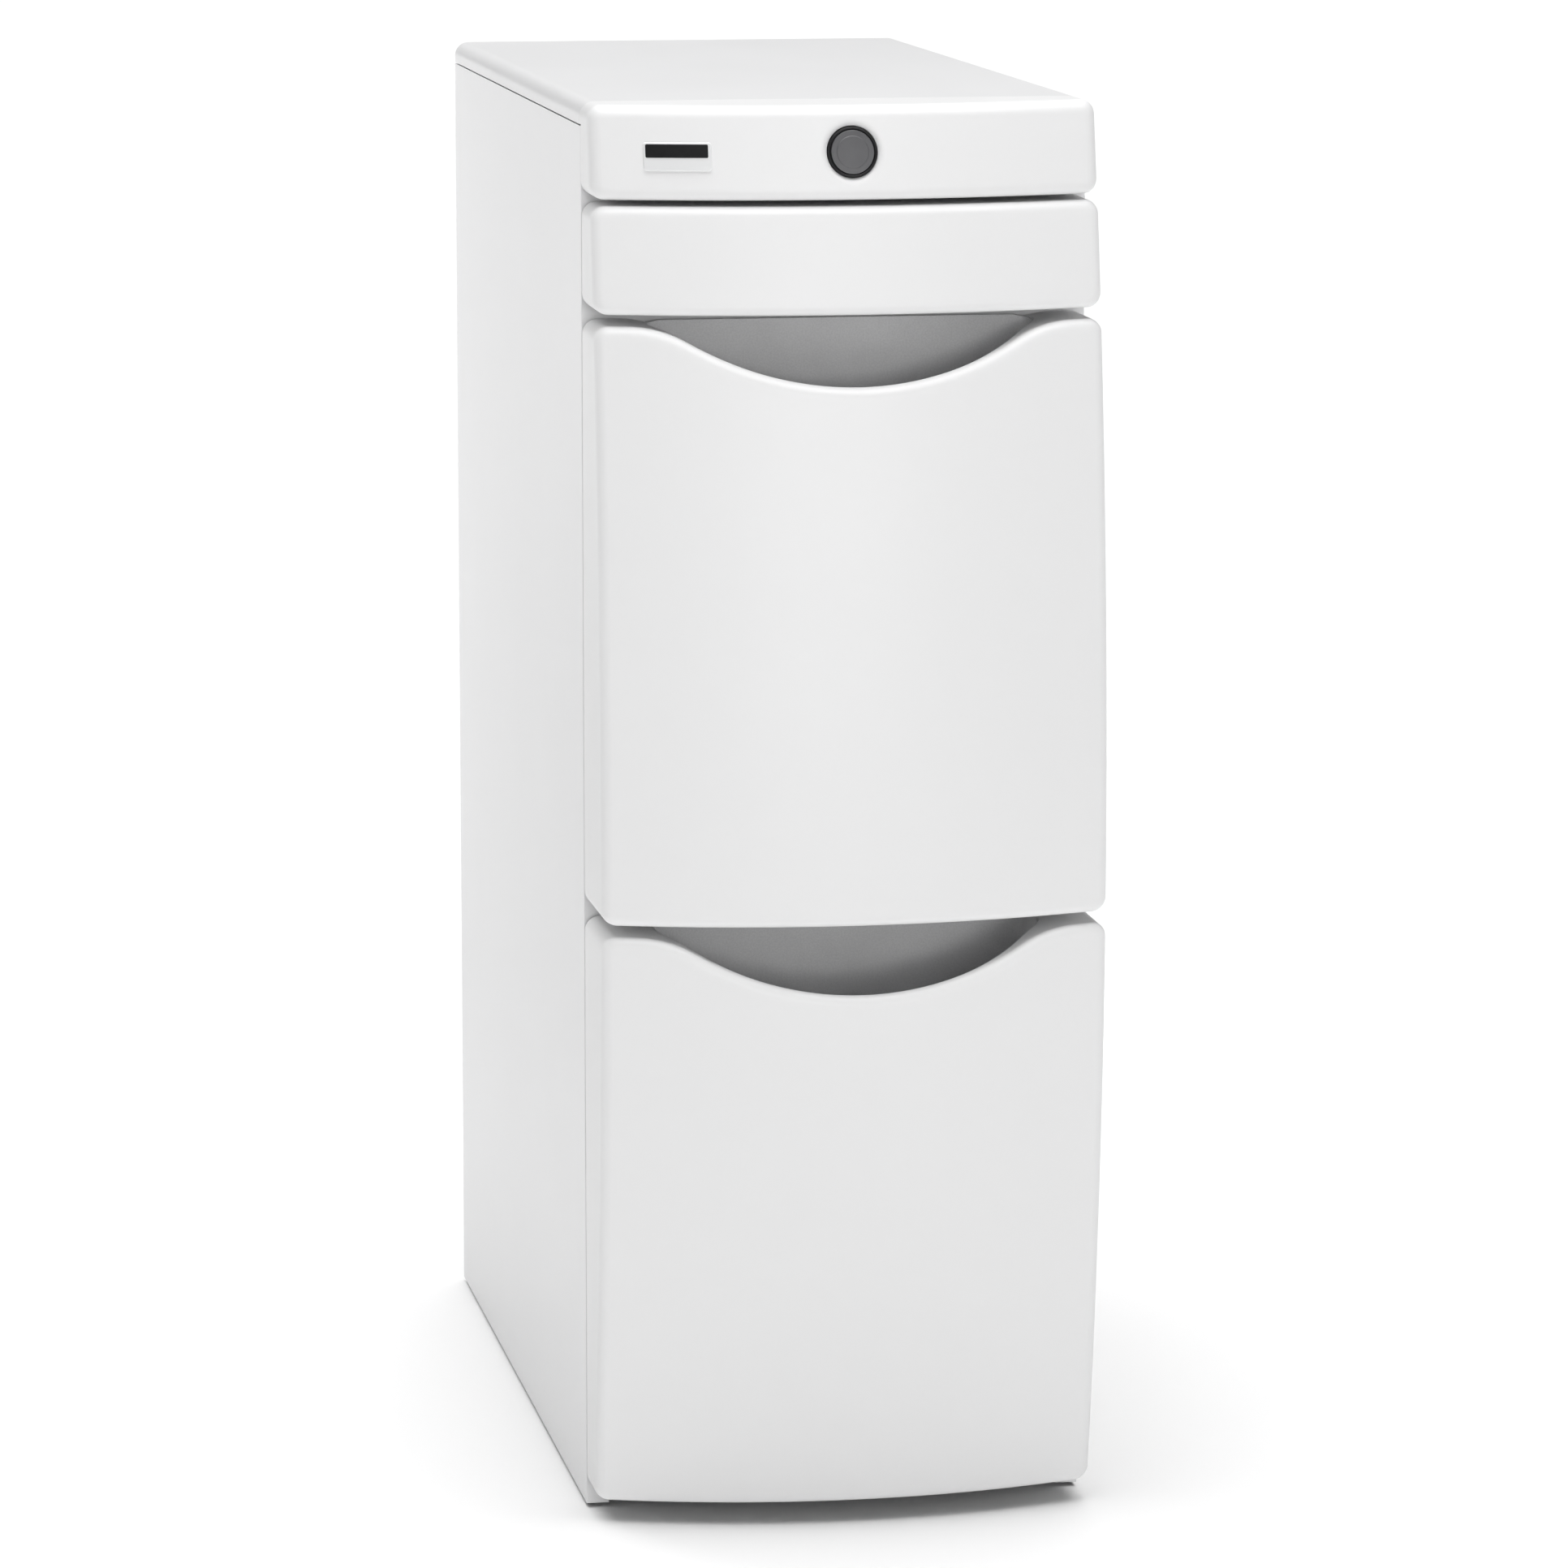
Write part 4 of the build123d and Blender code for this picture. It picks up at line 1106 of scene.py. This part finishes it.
def drawer_box(number):
    """A pressed steel box with a rolled rim."""
    (x0, y0, z0), (x1, y1, _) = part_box(f"drawer{number}_tray")
    x0, x1 = span(f"drawer{number}_sides", 0)
    z1 = span(f"drawer{number}_sides", 2)[1]

    def loop(inset, z):
        radius = max(1.0 * MM, BOX_CORNER_R - inset)
        return rounded_loop((x0 + inset, x1 - inset), (y0 + inset, y1 - inset), radius, z)

    rings = []
    for step in range(6):
        angle = pi / 2 * step / 5
        rings.append(loop(BOX_FOOT_R * (1 - sin(angle)), z0 + BOX_FOOT_R * (1 - cos(angle))))
    rings.append(loop(0.0, z1 - BOX_ROLL / 2))
    for step in range(1, 9):
        angle = pi * step / 8
        rings.append(loop(BOX_HEM / 2 * (1 - cos(angle)), z1 - BOX_ROLL / 2 + BOX_ROLL / 2 * sin(angle)))
    rings.append(loop(BOX_HEM, z1 - BOX_ROLL + 0.4 * MM))
    rings.append(loop(BOX_HEM - 0.5 * MM, z1 - BOX_ROLL))
    rings.append(loop(BOX_WALL, z1 - BOX_ROLL))
    floor = z0 + BOX_WALL
    rings.append(loop(BOX_WALL, floor + BOX_COVE_R))
    for step in range(1, 6):
        angle = pi / 2 * step / 5
        rings.append(loop(BOX_WALL + BOX_COVE_R * (1 - cos(angle)), floor + BOX_COVE_R * (1 - sin(angle))))
    body = f"drawer{number}"
    replaced = [f"{body}_sides", f"{body}_tray"]
    piece(f"{body}_pressed_box", "box_enamel", body, [loft(rings)], replaced)


def drawer_fittings(number):
    """A drawer's liner plate, bumpers and screws."""
    body = f"drawer{number}"
    node = f"{body}_liner"
    (x0, y0, z0), (x1, y1, z1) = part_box(node)
    corner = CORNER_R - WALL
    rings = []
    for inset, y in ((LIP, y0), (0.0, y0 + LIP), (0.0, y1 - LIP), (LIP, y1)):
        flat = rounded_loop((x0 + inset, x1 - inset), (z0 + inset, z1 - inset), corner - inset, 0.0)
        rings.append([(x, y, z) for x, z, _ in flat])
    piece(f"{node}_plate", "galvanised_sheet", body, [loft(rings)], [node])
    node = f"{body}_bumpers"
    low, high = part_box(node)
    dome = [(0.0, low.y), (BUMPER_R, low.y), (BUMPER_R, high.y - 1.6 * MM)]
    dome += [(BUMPER_R * 0.88, high.y - 0.7 * MM), (BUMPER_R * 0.6, high.y - 0.15 * MM), (0.0, high.y)]
    pads = []
    for x in (low.x + BUMPER_R, high.x - BUMPER_R):
        for z in (low.z + BUMPER_R, high.z - BUMPER_R):
            pads.append(lathe(dome, (x, 0, z), steps=32))
    piece(f"{node}_domes", "bumper_rubber", body, pads, [node])
    node = f"{body}_front_screws"
    low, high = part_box(node)
    seat = high.y - FRONT_SCREW_HEAD
    shank = [(0.0, low.y), (1.6 * MM, low.y), (2.4 * MM, low.y + 1.2 * MM), (2.4 * MM, seat), (0.0, seat)]
    levels = sorted({round(z, 5) for z in (low.z + FRONT_SCREW_R, high.z - FRONT_SCREW_R)})
    heads = []
    for x in (low.x + FRONT_SCREW_R, high.x - FRONT_SCREW_R):
        for z in levels:
            heads.append(dome_screw((x, seat, z), FRONT_SCREW_R, FRONT_SCREW_HEAD, 1, 1))
            heads.append(lathe(shank, (x, 0, z), steps=20))
    piece(f"{node}_pan_head", "fastener_steel", body, heads, [node])


def slides(number):
    """The outer, middle and inner members of a drawer's ball-bearing slides, with the balls."""
    half = SHEET / 2
    body = f"drawer{number}"
    for member, owner in (("outer", "cabinet"), ("middle", f"{body}_slides"), ("inner", body)):
        node = f"{body}_slide_{member}"
        (_, y0, z0), (x1, y1, z1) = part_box(node)
        reach = SLIDE_REACH[member]
        opens_outwards = member == "inner"
        web_x = x1 - reach + half if opens_outwards else x1 - half
        lip_x = x1 if opens_outwards else x1 - reach
        path = [(lip_x, z0 + half), (web_x, z0 + half), (web_x, z1 - half), (lip_x, z1 - half)]
        outline = sheet_section(path, SHEET, SLIDE_FOLD_R)
        parts = [prism([(side * x, z) for x, z in outline], 1, y0, y1) for side in SIDES]
        piece(f"{node}_rolled", "slide_steel", owner, parts, [node])
    ball_cages(number)


def ball_cages(number):
    """Rows of balls in thin strips, along the edges of the middle member."""
    body = f"drawer{number}"
    (_, y0, z0), (x1, _, z1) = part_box(f"{body}_slide_middle")
    profile = [(BALL_R * sin(pi * k / 8), -BALL_R * cos(pi * k / 8)) for k in range(9)]
    clear = BALL_R + 0.05 * MM
    balls = []
    strips = []
    for side in SIDES:
        x = side * (x1 - BALL_LINE_IN)
        for z in (z0 - clear, z1 + clear):
            low = (x - CAGE_HALF, y0 + CAGE_START, z - CAGE_HALF_THICK)
            high = (x + CAGE_HALF, y0 + CAGE_END, z + CAGE_HALF_THICK)
            strips.append(rounded_box(low, high, 0.1 * MM, 1))
            for index in range(BALL_COUNT):
                centre = (x, y0 + BALL_FIRST + BALL_PITCH * index, z)
                balls.append(lathe(profile, centre, axis=2, steps=12))
    piece(f"{body}_slide_balls", "fastener_steel", f"{body}_slides", balls + strips)


# ---- stage, light and camera
def stage():
    """A plain pale floor."""
    floor = bpy.data.meshes.new("floor")
    reach = 60.0
    corners = [(-reach, -reach, 0), (reach, -reach, 0), (reach, reach, 0), (-reach, reach, 0)]
    floor.from_pydata(corners, [], [[0, 1, 2, 3]])
    floor.materials.append(
        surface(
            "studio_floor",
            (0.93, 0.93, 0.93),
            0.8,
            tint=0.002,
            grain=40.0,
            bump=0.01,
            mottling=0.5,
            polish=0.02,
            specular=0.1,
        )
    )
    new_object("floor", floor)


def area_light(name, place, target, size, power):
    """A soft panel of light that the camera doesn't see."""
    lamp = bpy.data.lights.new(name, "AREA")
    lamp.shape = "RECTANGLE"
    lamp.size, lamp.size_y = size
    lamp.energy = power
    made = new_object(name, lamp)
    made.location = place
    made.rotation_euler = (Vector(target) - Vector(place)).to_track_quat("-Z", "Y").to_euler()
    made.visible_camera = False


def sun(name, azimuth, elevation, spread, strength):
    """A wide, soft, even light; azimuth 0 comes from the front and 90 from the right."""
    lamp = bpy.data.lights.new(name, "SUN")
    lamp.energy = strength
    lamp.angle = radians(spread)
    made = new_object(name, lamp)
    level = cos(radians(elevation))
    turn = radians(azimuth)
    source = Vector((sin(turn) * level, -cos(turn) * level, sin(radians(elevation))))
    made.rotation_euler = source.to_track_quat("Z", "Y").to_euler()


def lights():
    """Studio light: wide overhead, rear and frontal lights, and two panels."""
    world = bpy.data.worlds.new("studio")
    world.use_nodes = True
    background = world.node_tree.nodes["Background"]
    background.inputs["Color"].default_value = (1.0, 1.0, 1.0, 1.0)
    background.inputs["Strength"].default_value = 0.02
    bpy.context.scene.world = world
    sun("overhead", 0, 88, 70, 3.2)
    sun("behind", 180, 50, 60, 0.45)
    sun("front", 5, 6, 30, 0.42)
    sun("low_front", 3, 0, 16, 0.62)
    area_light("left_rear_panel", (-0.9, 0.9, 0.9), (-0.17, 0.35, 0.75), (0.5, 0.8), 2.5)
    area_light("high_panel", (0.0, -0.7, 2.2), (0.0, -0.2, 0.95), (0.8, 0.8), 3.8)


CAMERA_PLACE = (-0.83008, -4.99939, 1.28615)
CAMERA_YAW = radians(9.57977)
CAMERA_PITCH = radians(9.31111)
CAMERA_LENS = 163.072


def camera():
    """The photo's viewpoint."""
    data = bpy.data.cameras.new("camera")
    data.lens = CAMERA_LENS
    data.sensor_width = 36.0
    data.clip_end = 200.0
    made = new_object("camera", data)
    made.location = CAMERA_PLACE
    made.rotation_euler = (pi / 2 - CAMERA_PITCH, 0.0, -CAMERA_YAW)
    bpy.context.scene.camera = made


# ---- build
def build():
    """The whole scene, piece by piece."""
    for number in DRAWERS:
        drawer_front(number)
        drawer_box(number)
        drawer_fittings(number)
        slides(number)
    console_shell()
    badge()
    rod()
    for side in SIDES:
        side_and_post(side)
    uprights()
    top_panel()
    rails()
    sheet_metal()
    base_pan()
    feet()
    screws()
    stage()
    lights()
    camera()
    bpy.context.scene.view_settings.view_transform = "Standard"


build()
